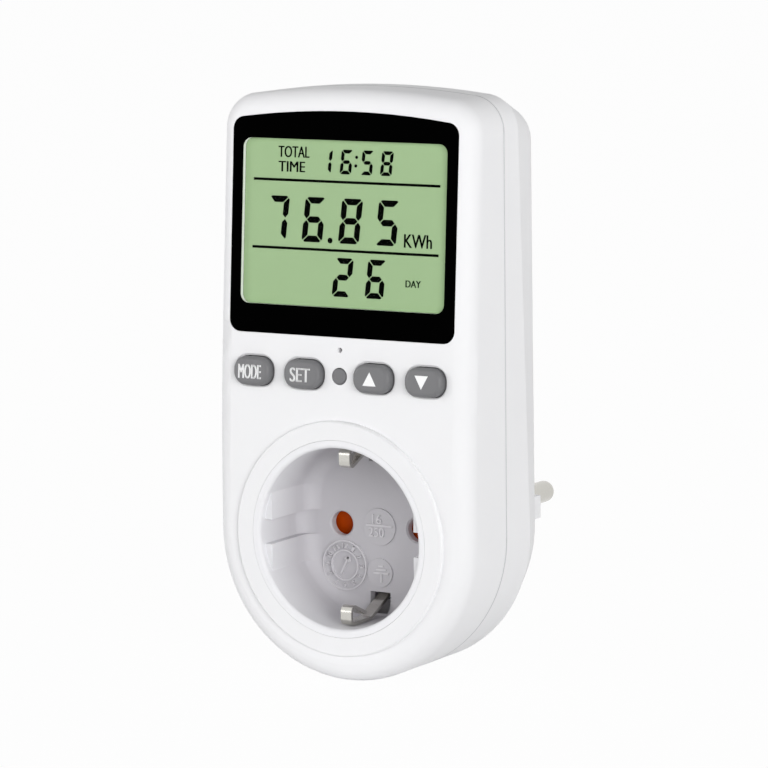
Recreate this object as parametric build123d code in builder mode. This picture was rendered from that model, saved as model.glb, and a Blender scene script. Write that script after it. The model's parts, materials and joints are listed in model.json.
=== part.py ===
"""Plug-in energy meter: a wall plug at the back, a shuttered socket and a leaning display at the front.

The origin is the centre of the plug face, midway between the two pins. X runs to the right of
someone who faces the meter, Y runs back into the wall and Z runs up. Most pieces are drawn on
planes square to Y, and their depths are measured forwards from the plug face. The display, its
keys and its board lie on the leaning part of the front face and are drawn on the display plane.
"""

from build123d import *
from math import cos, radians, sin, sqrt, tan
import os

os.makedirs("parts", exist_ok=True)

# Mains axis, shared by the plug and the socket
pin_pitch = 19.0
pin_radius = 2.4

# Housing outline, seen from the front, with the socket axis at its origin
body_half_width = 31.0
body_top = 94.7
arch_radius = 200.0
corner_radius = 7.5

# Housing depths and walls
boss_depth = 17.5
rear_depth = 21.9
front_depth = 16.8
wall = 2.2
front_edge_radius = 4.0
seam_bevel = 0.25
lip_height = 1.2
lip_gap = 0.1

# Front face: upright round the socket, then a gentle bend into the leaning display
lean_angle = 3.8
lean_start = 5.0
lean_radius = 603.0

# Rear shell: a crease all round, then sides that taper in to the back face
crease_depth = 11.5
crease_tilt = 2.86
back_inset = 4.6
back_edge_radius = 5.5

# Plug boss
boss_radius = 18.75
boss_flat_step = 2.15
boss_rib_step = 0.35
boss_rib_width = 5.0
boss_wall = 2.4
boss_floor = 3.0
boss_edge_radius = 0.8

# Plug pins
pin_reach = 19.0
pin_tip_radius = 1.9
pin_shoulder_radius = 2.65
pin_shoulder_proud = 0.3
pin_hole_gap = 0.05
pin_flange_radius = 3.6
pin_flange_thickness = 1.6
pin_spigot_radius = 2.0
pin_spigot_length = 5.4

# Plug pin clamp, held on two short posts in the boss
clamp_thickness = 4.0
clamp_gap = 0.15
clamp_post_spread = 9.0
clamp_post_radius = 2.6

# Plug earth strap
side_contact_width = 5.0
side_contact_thickness = 0.8
side_contact_length = 12.0
side_contact_start = 1.6
side_contact_step = 0.65
side_contact_gap = 0.2
side_groove_margin = 0.9

# Socket insert
socket_radius = 19.4
socket_depth = 17.5
ring_width = 5.84
ring_proud = 0.8
ring_edge_radius = 0.5
insert_wall = 1.7
insert_gap = 0.06
insert_lip_radius = 0.8
insert_corner_radius = 0.8
insert_floor = 2.0
collar_wall = 1.0
collar_depth = 9.0
flat_step = 1.95
flat_setback = 1.8
flat_groove_width = 5.3
socket_hole_radius = 2.65
socket_hole_bevel = 0.35

# Socket earth strap and its windows, each set in from the recess wall
earth_width = 2.6
earth_thickness = 0.7
earth_rise_inset = 0.7
earth_crest_inset = 4.85
earth_tail_inset = 2.2
earth_root_inset = 4.5
earth_front_setback = 3.0
earth_tail_length = 6.0
earth_bend_radius = 1.1
earth_window_width = 5.0
earth_window_inset = 5.2
earth_slot_inset = 6.4
earth_slot_height = 3.6
earth_slot_width = 3.6
earth_gap = 0.05

# Shutter and its spring
shutter_gap = 0.2
shutter_thickness = 2.3
shutter_pad_radius = 4.0
shutter_hub_radius = 4.2
shutter_arm_width = 4.6
shutter_ramp_rise = 1.3
shutter_ramp_setback = 0.9
shutter_post_radius = 1.5
shutter_bore_gap = 0.06
stop_width = 4.0
stop_height = 1.2
stop_gap = 0.15
spring_thickness = 0.35
spring_width = 1.2
spring_peg_radius = 1.2
spring_peg_drop = 8.4
spring_coil_gap = 0.1
spring_leg_gap = 0.1
spring_leg_reach = 11.0
spring_bend_radius = 1.5
spring_rest_width = 1.6
spring_rest_height = 1.0

# Socket carrier with its two contact chambers
carrier_plate = 1.6
carrier_gap = 0.1
chamber_radius = 5.0
chamber_bore = 4.0
carrier_hole_radius = 2.9

# Socket contacts and busbars
contact_bore = 2.45
contact_wall = 0.6
contact_slit = 0.9
contact_slit_share = 0.732
bus_width = 4.0
bus_thickness = 0.8
bus_bend_radius = 1.2
bus_offset = 2.5
bus_run_gap = 0.65
bus_lap = 3.4
bus_foot_radius = 3.4

# Display window, on the leaning face
window_side_border = 3.5
window_bottom = 42.75
window_top = 90.13
window_arch_radius = 190.0
window_corner_radius = 2.7
window_gap = 0.06
lens_thickness = 1.0
mask_thickness = 0.2

# Liquid crystal display
lcd_side_border = 2.63
lcd_bottom = 48.93
lcd_top = 84.0
lcd_corner_radius = 2.0
lcd_recess = 0.9
glass_side_margin = 0.7
glass_top_margin = 1.2
glass_bottom_margin = 2.2
glass_thickness = 2.2
light_guide_thickness = 4.1
holder_wall = 0.8
holder_corner_radius = 0.8
display_gap = 0.1
strip_width = 1.8

# Keys
outer_key_inset = 10.0
inner_key_share = 0.4048
key_width_share = 0.712
key_height = 6.1
key_corner_radius = 2.75
key_row = 34.6
key_proud = 1.7
key_edge_radius = 0.9
key_gap = 0.18
key_opening_bevel = 0.45
key_bevel_angle = 45.0
key_flange_margin = 0.8
key_flange_thickness = 0.8
key_flange_gap = 0.3
key_stem_radius = 1.6
key_travel = 0.6
reset_radius = 1.65
reset_proud = 0.15
reset_edge_radius = 0.25
reset_flange_margin = 0.6

# Key switches on the control board
switch_size = 6.0
switch_height = 3.5
plunger_radius = 1.7
plunger_height = 0.8
plunger_root = 1.5
plunger_gap = 0.06
switch_well_spare = 0.4

# Control board
board_thickness = 1.6
board_edge_gap = 1.0
board_bottom = 29.5
board_post_radius = 1.9
board_post_low = 41.4
board_post_low_inset = 8.3
board_post_high = 88.7
board_post_high_offset = 11.8
board_post_gap = 0.5
indicator_height = 40.1
indicator_hole_radius = 0.55
indicator_radius = 1.5
indicator_dome_share = 0.9
indicator_drop = 0.4
chip_size = 9.0
chip_height = 1.6
chip_row = 64.0
crystal_width = 4.6
crystal_length = 10.5
crystal_height = 3.5
crystal_offset = 12.0

# Power board, on four posts of the rear shell
power_side_gap = 0.9
power_bottom = 28.0
power_top = 84.0
power_back_gap = 5.3
power_corner_radius = 1.5
power_post_radius = 2.2
power_post_inset = 3.4
power_post_low = 37.0
power_post_high = 79.5

# Pieces soldered to the power board
solder_gap = 0.1
capacitor_width = 18.0
capacitor_height = 12.0
capacitor_depth = 8.5
capacitor_edge_radius = 0.6
capacitor_row = 70.0
smoothing_radius = 4.0
smoothing_length = 9.5
smoothing_row = 57.0
smoothing_offset = 10.5
varistor_radius = 5.2
varistor_thickness = 3.8
varistor_row = 47.0
varistor_offset = 9.0
shunt_width = 3.0
shunt_thickness = 1.0
shunt_rise = 3.0
shunt_row = 32.5
meter_chip_width = 10.3
meter_chip_height = 7.5
meter_chip_depth = 2.3
meter_chip_row = 46.0
meter_chip_offset = 5.5
battery_radius = 5.6
battery_length = 15.0
battery_row = 56.5
battery_offset = 6.5
header_width = 15.0
header_height = 2.5
header_row = 40.0
header_pin_radius = 0.35
header_pitch = 2.54
header_pins = 5
header_housing = 8.5

# Screws: housing, control board, power board and plug clamp
housing_screw_radius = 1.3
housing_head_radius = 2.3
housing_head_height = 1.7
housing_post_radius = 2.5
housing_post_gap = 0.05
housing_tube_wall = 1.1
housing_tube_depth = 12.5
housing_tube_floor = 2.0
housing_pilot_depth = 9.0
housing_screw_low_gap = 2.545
housing_screw_high = 41.7
housing_screw_high_inset = 9.5
small_screw_radius = 1.0
small_head_radius = 1.9
small_head_height = 1.2
small_pilot_depth = 3.6
screw_end_gap = 0.6
thread_gap = 0.05
head_gap = 0.2
drive_width = 0.7
drive_depth_share = 0.6

# One overrun carries every cut past the faces that it goes through
overrun = 2.0

# Depths of the main faces, forwards from the plug face
back = boss_depth
parting = back + rear_depth
face = parting + front_depth
rim = face + ring_proud
socket_floor = rim - socket_depth
floor_back = socket_floor - insert_floor
carrier_face = floor_back - shutter_thickness - 2 * shutter_gap
carrier_back = carrier_face - carrier_plate

# Boss: its flats, ribs and side contacts follow its radius
boss_flat = boss_radius - boss_flat_step
boss_rib_reach = boss_radius - boss_rib_step
side_contact_reach = boss_radius - side_contact_step

# Socket: its ring, flats, earth clips and lower screws follow its radius
insert_radius = socket_radius + insert_wall
ring_radius = socket_radius + ring_width
flat_half_width = socket_radius - flat_step
earth_rise = socket_radius - earth_rise_inset
earth_crest = socket_radius - earth_crest_inset
earth_tail = socket_radius - earth_tail_inset
earth_root = socket_radius - earth_root_inset
earth_window_inner = socket_radius - earth_window_inset
earth_slot_inner = socket_radius - earth_slot_inset
earth_slot_outer = earth_slot_inner + earth_slot_height
housing_screw_low = (insert_radius + housing_screw_low_gap) / sqrt(2)

# Display, keys and upper screws follow the housing's width, and both boards the screws
window_half_width = body_half_width - window_side_border
lcd_half_width = window_half_width - lcd_side_border
outer_key_offset = body_half_width - outer_key_inset
inner_key_offset = inner_key_share * outer_key_offset
key_width = key_width_share * (outer_key_offset - inner_key_offset)
reset_flange_radius = reset_radius + reset_flange_margin
tube_bore = housing_head_radius + head_gap
housing_screw_high_offset = body_half_width - housing_screw_high_inset
board_post_low_offset = housing_screw_high_offset - board_post_low_inset
power_half_width = housing_screw_high_offset - tube_bore - housing_tube_wall - power_side_gap
power_post_offset = power_half_width - power_post_inset

# The leaning plane of the front face starts where the bend ends
turn = radians(lean_angle)
lean_end_height = lean_start + lean_radius * sin(turn)
lean_end_depth = face - lean_radius * (1 - cos(turn))
display = Plane(origin=(0, -lean_end_depth, lean_end_height), x_dir=(1, 0, 0),
                z_dir=(0, -cos(turn), sin(turn)))

# Levels of the display stack, inwards from the front face
lens_back = lens_thickness
mask_back = lens_back + mask_thickness
glass_front = mask_back + lcd_recess
glass_back = glass_front + glass_thickness
board_front = glass_back + light_guide_thickness + 2 * display_gap
board_back = board_front + board_thickness

# Levels of the keys, inwards from the front face
flange_front = wall + key_flange_gap
flange_back = flange_front + key_flange_thickness
switch_top = board_front - switch_height
stem_end = switch_top - plunger_height
plunger_end = switch_top + plunger_root
well_depth = plunger_root + key_travel + switch_well_spare

# Plane seen from the side: its x is the depth and its y the height
side_view = Plane(origin=(0, 0, 0), x_dir=(0, -1, 0), z_dir=(-1, 0, 0))
# Plane of a turned profile: its x is the radius and its y the depth
turned_profile = Plane(origin=(0, 0, 0), x_dir=(1, 0, 0), z_dir=(0, 0, -1))


def level(depth):
    """Plane square to Y at this depth in front of the plug face, looking forwards."""
    return Plane.XZ.offset(depth)


def display_level(inward):
    """Plane parallel to the leaning face, this far under it."""
    return display.offset(-inward)


def slope_height(height):
    """Distance along the leaning face, from where the bend ends, of a point at this height."""
    return (height - lean_end_height) / cos(turn)


def lean_depth(height, inward=0.0):
    """Depth of a point at this height on the leaning face, or this far under it."""
    return lean_end_depth - tan(turn) * (height - lean_end_height) - inward / cos(turn)


def body_outline(inset=0.0, corner=0.0):
    """Front view of the housing, drawn in by inset: a round foot, straight sides and an arched top.

    The top corners keep the housing's own centres unless a corner radius is given.
    """
    half = body_half_width - inset
    rise = body_top - inset
    arch = arch_radius - inset
    shoulder = rise - arch + sqrt(arch**2 - half**2)
    with BuildSketch() as outline:
        with BuildLine():
            Line((-half, 0), (-half, shoulder))
            ThreePointArc((-half, shoulder), (0, rise), (half, shoulder))
            Line((half, shoulder), (half, 0))
            ThreePointArc((half, 0), (0, -half), (-half, 0))
        make_face()
        fillet(outline.vertices().group_by(Axis.Y)[-1], radius=corner or corner_radius - inset)
    return outline.sketch


def lean_profile(inset=0.0):
    """Side view of all that lies behind the front face, drawn in by inset."""
    low = -body_half_width - overrun
    radius = lean_radius - inset
    centre = face - lean_radius
    end = (centre + radius * cos(turn), lean_start + radius * sin(turn))
    middle = (centre + radius * cos(turn / 2), lean_start + radius * sin(turn / 2))
    top = (end[0] - body_top * sin(turn), end[1] + body_top * cos(turn))
    with BuildSketch() as profile:
        with BuildLine():
            Polyline((0, top[1]), (0, low), (face - inset, low), (face - inset, lean_start))
            ThreePointArc((face - inset, lean_start), middle, end)
            Polyline(end, top, (0, top[1]))
        make_face()
    return profile.sketch


def front_form(inset=0.0):
    """Solid front half of the housing, drawn in by inset on every side but the parting face."""
    with BuildPart() as form:
        with BuildSketch(level(parting)):
            add(body_outline(inset))
        extrude(amount=front_depth)
        with BuildSketch(side_view):
            add(lean_profile(inset))
        extrude(amount=body_half_width + overrun, both=True, mode=Mode.INTERSECT)
        slanted = form.edges().filter_by(Axis.X, reverse=True).filter_by(Axis.Y, reverse=True)
        fillet(slanted.filter_by_position(Axis.Y, -face, -parting - front_depth / 2),
               radius=front_edge_radius - inset)
    return form.part


def rear_form(inset=0.0):
    """Solid rear half: straight sides to the crease, then sides that taper in to the back face."""
    crease_plane = Plane(origin=(0, -back - crease_depth, 0), x_dir=(1, 0, 0),
                         z_dir=(0, -cos(radians(crease_tilt)), -sin(radians(crease_tilt))))
    with BuildPart() as form:
        with BuildSketch(level(parting)):
            add(body_outline(inset))
        extrude(amount=-rear_depth + inset)
        split(bisect_by=crease_plane, keep=Keep.TOP)
        with BuildSketch(level(back + inset)) as foot:
            add(body_outline(inset + back_inset, corner_radius))
        loft([form.faces().sort_by(Axis.Y)[-1], foot.sketch.face()], ruled=True)
    return form.part


def window_outline(inset=0.0):
    """Outline of the display window on the leaning face, drawn in by inset."""
    half = window_half_width - inset
    low = slope_height(window_bottom) + inset
    rise = slope_height(window_top) - inset
    arch = window_arch_radius - inset
    shoulder = rise - arch + sqrt(arch**2 - half**2)
    with BuildSketch() as outline:
        with BuildLine():
            Polyline((half, shoulder), (half, low), (-half, low), (-half, shoulder))
            ThreePointArc((-half, shoulder), (0, rise), (half, shoulder))
        make_face()
        fillet(outline.vertices(), radius=window_corner_radius - inset)
    return outline.sketch


def lcd_outline(side=0.0, above=0.0, below=0.0, corner=0.0):
    """Rectangle round the visible display area, let out by these margins."""
    low = slope_height(lcd_bottom) - below
    high = slope_height(lcd_top) + above
    with BuildSketch() as outline:
        with Locations((0, (low + high) / 2)):
            if corner > 0:
                RectangleRounded(2 * (lcd_half_width + side), high - low, corner)
            else:
                Rectangle(2 * (lcd_half_width + side), high - low)
    return outline.sketch


def glass_outline(margin=0.0, corner=0.0):
    """Outline of the display glass, let out by margin on every side."""
    return lcd_outline(glass_side_margin + margin, glass_top_margin + margin,
                       glass_bottom_margin + margin, corner)


def key_outline(margin=0.0):
    """Rounded outline of a key cap, let out by margin."""
    with BuildSketch() as outline:
        RectangleRounded(key_width + 2 * margin, key_height + 2 * margin, key_corner_radius + margin)
    return outline.sketch


def reset_outline(radius):
    """Round outline of the reset key."""
    with BuildSketch() as outline:
        Circle(radius)
    return outline.sketch


def key(place, cap, flange, proud, edge_radius):
    """Key with a cap that stands proud of the face, a flange under the wall and a stem to its plunger."""
    with BuildPart() as pressed:
        with BuildSketch(display_level(flange_front)):
            with Locations(place):
                add(cap)
        extrude(amount=flange_front + proud)
        fillet(pressed.faces().sort_by(Axis.Y)[0].edges(), radius=edge_radius)
        with BuildSketch(display_level(flange_back)):
            with Locations(place):
                add(flange)
        extrude(amount=key_flange_thickness)
        with BuildSketch(display_level(stem_end)):
            with Locations(place):
                Circle(key_stem_radius)
        extrude(amount=stem_end - flange_back)
    return pressed.part


def screw(plane, places, shank, grip, head, head_height, way=1):
    """Screws with their head faces on a plane, gripping along its normal, or against it if way is -1."""
    with BuildPart() as screws:
        with BuildSketch(plane):
            with Locations(*places):
                Circle(head)
        extrude(amount=way * head_height)
        with BuildSketch(plane.offset(way * head_height)):
            with Locations(*places):
                Circle(shank)
        extrude(amount=way * grip)
        with BuildSketch(plane):
            with Locations(*places):
                Rectangle(2 * head * drive_depth_share, drive_width)
                Rectangle(drive_width, 2 * head * drive_depth_share)
        extrude(amount=way * head_height * drive_depth_share, mode=Mode.SUBTRACT)
    return screws.part


def strip(points, radius, width, thickness, offset=0.0):
    """Bent metal strip: a path in side view, its bend radius, and the strip's width across X."""
    with BuildPart() as bent:
        with BuildSketch(Plane(origin=(offset, 0, 0), x_dir=side_view.x_dir, z_dir=side_view.z_dir)):
            with BuildLine():
                FilletPolyline(*points, radius=radius)
            trace(line_width=thickness)
        extrude(amount=width / 2, both=True)
    return bent.part


def finish(part, name):
    """Name a finished piece and write its file."""
    part.label = name
    export_step(part, f"parts/{name}.step")


# Places that more than one piece follows
pin_places = [(-pin_pitch / 2, 0), (pin_pitch / 2, 0)]
housing_screw_places = [
    (-housing_screw_low, -housing_screw_low), (housing_screw_low, -housing_screw_low),
    (-housing_screw_high_offset, housing_screw_high), (housing_screw_high_offset, housing_screw_high),
]
board_post_places = [
    (-board_post_low_offset, slope_height(board_post_low)),
    (board_post_low_offset, slope_height(board_post_low)),
    (-board_post_high_offset, slope_height(board_post_high)),
    (board_post_high_offset, slope_height(board_post_high)),
]
power_post_places = [
    (side * power_post_offset, row) for side in (-1, 1) for row in (power_post_low, power_post_high)
]
clamp_post_places = [(0, -clamp_post_spread), (0, clamp_post_spread)]
key_line = slope_height(key_row)
key_places = {
    "mode": (-outer_key_offset, key_line),
    "set": (-inner_key_offset, key_line),
    "up": (inner_key_offset, key_line),
    "down": (outer_key_offset, key_line),
}
reset_place = (0, key_line)
switch_places = key_places | {"reset": reset_place}
indicator_place = (0, slope_height(indicator_height))
tube_top = back + housing_tube_depth + housing_tube_floor
head_seat = back + housing_tube_depth
side_contact_line = side_contact_reach - side_contact_thickness / 2
side_bridge = side_contact_start + side_contact_length - side_contact_thickness / 2
power_back = back + wall + power_back_gap
power_front = power_back + board_thickness
bus_front = power_back - carrier_gap
bus_back = bus_front - bus_thickness
bus_top = power_bottom + bus_lap
bus_far_side = pin_pitch / 2 - bus_offset + bus_width / 2
bus_run_height = sqrt((boss_radius - boss_wall)**2 - bus_far_side**2) - bus_thickness / 2 - bus_run_gap
spring_offset = spring_peg_radius + spring_coil_gap + spring_thickness / 2
spring_high = -shutter_hub_radius - spring_leg_gap - spring_thickness / 2
spring_low = -spring_peg_drop - spring_offset

# Front housing: hollow shell, raised ring, window seat, key openings and posts
with BuildPart() as front_housing:
    add(front_form())
    with BuildSketch(level(parting)):
        Circle(ring_radius)
    extrude(amount=front_depth + ring_proud)
    ring_rim = front_housing.edges().filter_by(GeomType.CIRCLE).sort_by(Axis.Y)[0]
    fillet(ring_rim, radius=ring_edge_radius)
    chamfer(front_housing.faces().sort_by(Axis.Y)[-1].outer_wire().edges(), length=seam_bevel)
    add(front_form(wall), mode=Mode.SUBTRACT)
    with BuildSketch(level(face - collar_depth)):
        Circle(insert_radius + insert_gap + collar_wall)
    extrude(amount=collar_depth)
    with BuildSketch(level(tube_top + housing_post_gap)):
        with Locations(*housing_screw_places):
            Circle(housing_post_radius)
    extrude(until=Until.NEXT)
    with BuildSketch(display_level(board_front)):
        with Locations(*board_post_places):
            Circle(board_post_radius)
    extrude(amount=board_front - wall / 2)
    with BuildSketch(level(parting)):
        add(body_outline(wall / 2 + lip_gap))
        add(body_outline(wall), mode=Mode.SUBTRACT)
    extrude(amount=-lip_height)
    with BuildSketch(level(parting - overrun)):
        Circle(insert_radius + insert_gap)
    extrude(amount=front_depth + ring_proud + 2 * overrun, mode=Mode.SUBTRACT)
    with BuildSketch(display_level(mask_back)):
        add(window_outline())
    extrude(amount=mask_back + overrun, mode=Mode.SUBTRACT)
    with BuildSketch(display_level(wall + overrun)):
        add(glass_outline(holder_wall + 2 * display_gap, holder_corner_radius))
    extrude(amount=wall + 2 * overrun, mode=Mode.SUBTRACT)
    with BuildSketch(display_level(wall + overrun)):
        with Locations(*key_places.values()):
            add(key_outline(key_gap))
        with Locations(reset_place):
            add(reset_outline(reset_radius + key_gap))
        with Locations(indicator_place):
            Circle(indicator_hole_radius)
    extrude(amount=wall + 2 * overrun, mode=Mode.SUBTRACT)
    with BuildSketch(display_level(key_opening_bevel)):
        with Locations(*key_places.values()):
            add(key_outline(key_gap))
    extrude(amount=2 * key_opening_bevel, taper=-key_bevel_angle, mode=Mode.SUBTRACT)
    with BuildSketch(level(tube_top)):
        with Locations(*housing_screw_places):
            Circle(housing_screw_radius + thread_gap)
    extrude(amount=housing_pilot_depth, mode=Mode.SUBTRACT)
    with BuildSketch(display_level(board_front)):
        with Locations(*board_post_places):
            Circle(small_screw_radius + thread_gap)
    extrude(amount=small_pilot_depth, mode=Mode.SUBTRACT)
finish(front_housing.part, "front_housing")

# Rear housing: tapered shell, plug boss with its ribs and grooves, screw tubes and board posts
with BuildPart() as rear_housing:
    add(rear_form())
    back_rim = rear_housing.faces().sort_by(Axis.Y)[-1].outer_wire().edges()
    fillet(back_rim, radius=back_edge_radius)
    chamfer(rear_housing.faces().sort_by(Axis.Y)[0].outer_wire().edges(), length=seam_bevel)
    with BuildSketch(level(0)):
        Circle(boss_radius)
        Rectangle(2 * boss_flat, 2 * boss_radius, mode=Mode.INTERSECT)
        Rectangle(2 * boss_rib_reach, boss_rib_width)
        with Locations((0, side_contact_reach), (0, -side_contact_reach)):
            Rectangle(side_contact_width + 2 * side_groove_margin,
                      2 * (side_contact_thickness + side_contact_gap), mode=Mode.SUBTRACT)
    extrude(amount=boss_depth + wall)
    chamfer(rear_housing.faces().sort_by(Axis.Y)[-1].outer_wire().edges(), length=boss_edge_radius)
    add(rear_form(wall), mode=Mode.SUBTRACT)
    with BuildSketch(level(boss_floor)):
        Circle(boss_radius - boss_wall)
        Rectangle(2 * (boss_flat - boss_wall), 2 * boss_radius, mode=Mode.INTERSECT)
    extrude(amount=boss_depth + wall + overrun, mode=Mode.SUBTRACT)
    with BuildSketch(level(back + wall / 2)):
        with Locations(*housing_screw_places):
            Circle(tube_bore + housing_tube_wall)
    extrude(amount=tube_top - back - wall / 2)
    with BuildSketch(level(back + wall / 2)):
        with Locations(*power_post_places):
            Circle(power_post_radius)
    extrude(amount=power_back - back - wall / 2)
    with BuildSketch(level(boss_floor)):
        with Locations(*clamp_post_places):
            Circle(clamp_post_radius)
    extrude(amount=pin_flange_thickness)
    with BuildSketch(level(back - overrun)):
        with Locations(*housing_screw_places):
            Circle(tube_bore)
    extrude(amount=housing_tube_depth + overrun, mode=Mode.SUBTRACT)
    with BuildSketch(level(back)):
        with Locations(*housing_screw_places):
            Circle(housing_screw_radius + head_gap)
    extrude(amount=housing_tube_depth + housing_tube_floor + overrun, mode=Mode.SUBTRACT)
    with BuildSketch(level(-overrun)):
        with Locations(*pin_places):
            Circle(pin_shoulder_radius + pin_hole_gap)
    extrude(amount=boss_floor + 2 * overrun, mode=Mode.SUBTRACT)
    with BuildSketch(level(power_back)):
        with Locations(*power_post_places):
            Circle(small_screw_radius + thread_gap)
    extrude(amount=-small_pilot_depth, mode=Mode.SUBTRACT)
    with BuildSketch(level(boss_floor + pin_flange_thickness)):
        with Locations(*clamp_post_places):
            Circle(small_screw_radius + thread_gap)
    extrude(amount=-small_pilot_depth, mode=Mode.SUBTRACT)
    with BuildSketch(level(side_bridge - side_contact_thickness / 2 - side_contact_gap)):
        Rectangle(side_contact_width + 2 * side_contact_gap, 2 * (boss_radius + overrun))
    extrude(amount=side_contact_thickness + 2 * side_contact_gap, mode=Mode.SUBTRACT)
    with BuildSketch(level(parting)):
        add(body_outline(wall / 2))
    extrude(amount=-lip_height - lip_gap, mode=Mode.SUBTRACT)
finish(rear_housing.part, "rear_housing")

# Socket insert: round cup with side flats and grooves, pin holes and two earth windows
with BuildPart() as socket_insert:
    with BuildSketch(turned_profile) as cup:
        with BuildLine():
            Polyline((0, floor_back), (socket_radius + insert_wall / 2, floor_back),
                     (socket_radius + insert_wall / 2, carrier_face), (insert_radius, carrier_face),
                     (insert_radius, rim), (socket_radius, rim), (socket_radius, socket_floor),
                     (0, socket_floor), close=True)
        make_face()
        fillet(cup.vertices().group_by(Axis.X)[1].sort_by(Axis.Y)[-1], radius=insert_lip_radius)
        fillet(cup.vertices().group_by(Axis.X)[1].sort_by(Axis.Y)[0], radius=insert_corner_radius)
    revolve(axis=Axis.Y)
    with BuildSketch(level(socket_floor)):
        Circle(socket_radius + insert_wall / 2)
        Rectangle(2 * flat_half_width, 2 * insert_radius, mode=Mode.SUBTRACT)
        Rectangle(2 * insert_radius, flat_groove_width, mode=Mode.SUBTRACT)
    extrude(amount=socket_depth - flat_setback)
    with BuildSketch(level(floor_back - overrun)):
        with Locations(*pin_places):
            Circle(socket_hole_radius)
    extrude(amount=insert_floor + 2 * overrun, mode=Mode.SUBTRACT)
    hole_mouths = socket_insert.edges().filter_by(GeomType.CIRCLE).filter_by(
        lambda edge: abs(edge.radius - socket_hole_radius) < insert_gap).group_by(Axis.Y)[0]
    chamfer(hole_mouths, length=socket_hole_bevel)
    with BuildSketch(level(floor_back - overrun)):
        Rectangle(earth_window_width, 2 * socket_radius)
        Rectangle(earth_window_width, 2 * earth_window_inner, mode=Mode.SUBTRACT)
        Circle(socket_radius, mode=Mode.INTERSECT)
    extrude(amount=insert_floor + overrun + insert_gap, mode=Mode.SUBTRACT)
finish(socket_insert.part, "socket_insert")

# Socket carrier: plate behind the shutter, pivot post, stop, spring peg and contact chambers
with BuildPart() as socket_carrier:
    with BuildSketch(level(carrier_back)):
        Circle(insert_radius)
        with Locations((0, (earth_slot_inner + earth_slot_outer) / 2),
                       (0, -(earth_slot_inner + earth_slot_outer) / 2)):
            Rectangle(earth_slot_width, earth_slot_outer - earth_slot_inner, mode=Mode.SUBTRACT)
    extrude(amount=carrier_plate - carrier_gap)
    with BuildSketch(level(carrier_back)):
        with Locations(*pin_places):
            Circle(chamber_radius)
            Circle(chamber_bore, mode=Mode.SUBTRACT)
    extrude(amount=bus_front - carrier_back)
    with BuildSketch(level(carrier_back - overrun)):
        with Locations(*pin_places):
            Circle(carrier_hole_radius)
    extrude(amount=carrier_plate + 2 * overrun, mode=Mode.SUBTRACT)
    with BuildSketch(level(carrier_back)):
        Circle(shutter_post_radius)
    extrude(amount=floor_back - carrier_back - shutter_gap / 2)
    with BuildSketch(level(carrier_back)):
        with Locations((0, -spring_peg_drop)):
            Circle(spring_peg_radius)
        with Locations((pin_pitch / 2, shutter_pad_radius + stop_gap + stop_height / 2)):
            Rectangle(stop_width, stop_height)
        with Locations((spring_leg_reach - spring_rest_width / 2,
                        spring_low - spring_thickness / 2 - spring_leg_gap - spring_rest_height / 2)):
            Rectangle(spring_rest_width, spring_rest_height)
    extrude(amount=carrier_plate + shutter_thickness)
finish(socket_carrier.part, "socket_carrier")

# Shutter: hub and two pads that cover the pin holes, each with a ramp for the pin to push
with BuildPart() as shutter:
    with BuildSketch(level(carrier_face + shutter_gap)):
        Circle(shutter_hub_radius)
        Rectangle(pin_pitch, shutter_arm_width)
        with Locations(*pin_places):
            Circle(shutter_pad_radius)
        Circle(shutter_post_radius + shutter_bore_gap, mode=Mode.SUBTRACT)
    extrude(amount=shutter_thickness)
    ramp_top = carrier_face + shutter_gap + shutter_thickness
    for side in (-1, 1):
        with BuildSketch(Plane(origin=(side * pin_pitch / 2, 0, 0), x_dir=side_view.x_dir,
                               z_dir=side_view.z_dir)):
            with BuildLine():
                Polyline((ramp_top, side * (shutter_ramp_setback - shutter_pad_radius)),
                         (ramp_top, side * (shutter_pad_radius + overrun)),
                         (ramp_top - shutter_ramp_rise, side * (shutter_pad_radius + overrun)),
                         (ramp_top - shutter_ramp_rise, side * shutter_pad_radius), close=True)
            make_face()
        extrude(amount=shutter_pad_radius + overrun / 2, both=True, mode=Mode.SUBTRACT)
finish(shutter.part, "shutter")

# Shutter spring: flat hairpin round its peg, one leg on the carrier's rest and one under the right pad
with BuildPart() as shutter_spring:
    with BuildSketch(level(carrier_face + shutter_gap)):
        with BuildLine():
            FilletPolyline((spring_leg_reach, spring_high), (-spring_offset, spring_high),
                           (-spring_offset, spring_low), (spring_leg_reach, spring_low),
                           radius=spring_bend_radius)
        trace(line_width=spring_thickness)
    extrude(amount=spring_width)
finish(shutter_spring.part, "shutter_spring")

# Socket earth strap: a bridge behind the carrier, two arms and two hairpin clips in the recess
clip_front = rim - earth_front_setback - earth_thickness / 2
bridge_depth = carrier_back - earth_gap - earth_thickness / 2
half_path = [
    (clip_front - earth_tail_length, earth_tail), (clip_front, earth_crest), (clip_front, earth_rise),
    (socket_floor + earth_tail_length, earth_rise), (floor_back, earth_root), (bridge_depth, earth_root),
]
with BuildPart() as earth_strap:
    add(strip([(depth, -height) for depth, height in half_path] + half_path[::-1],
              earth_bend_radius, earth_width, earth_thickness))
finish(earth_strap.part, "earth_strap")

# Plug earth strap: two side contacts in the boss grooves and a bridge across the boss
with BuildPart() as plug_earth_strap:
    add(strip([(side_contact_start, -side_contact_line), (side_bridge, -side_contact_line),
               (side_bridge, side_contact_line), (side_contact_start, side_contact_line)],
              side_contact_thickness, side_contact_width, side_contact_thickness))
finish(plug_earth_strap.part, "plug_earth_strap")

# Earth link: spacer rivet that joins the two earth straps
with BuildPart() as earth_link:
    with BuildSketch(level(side_bridge + side_contact_thickness / 2)):
        Circle(earth_width)
    extrude(amount=bridge_depth - earth_thickness / 2 - side_bridge - side_contact_thickness / 2)
finish(earth_link.part, "earth_link")

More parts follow.
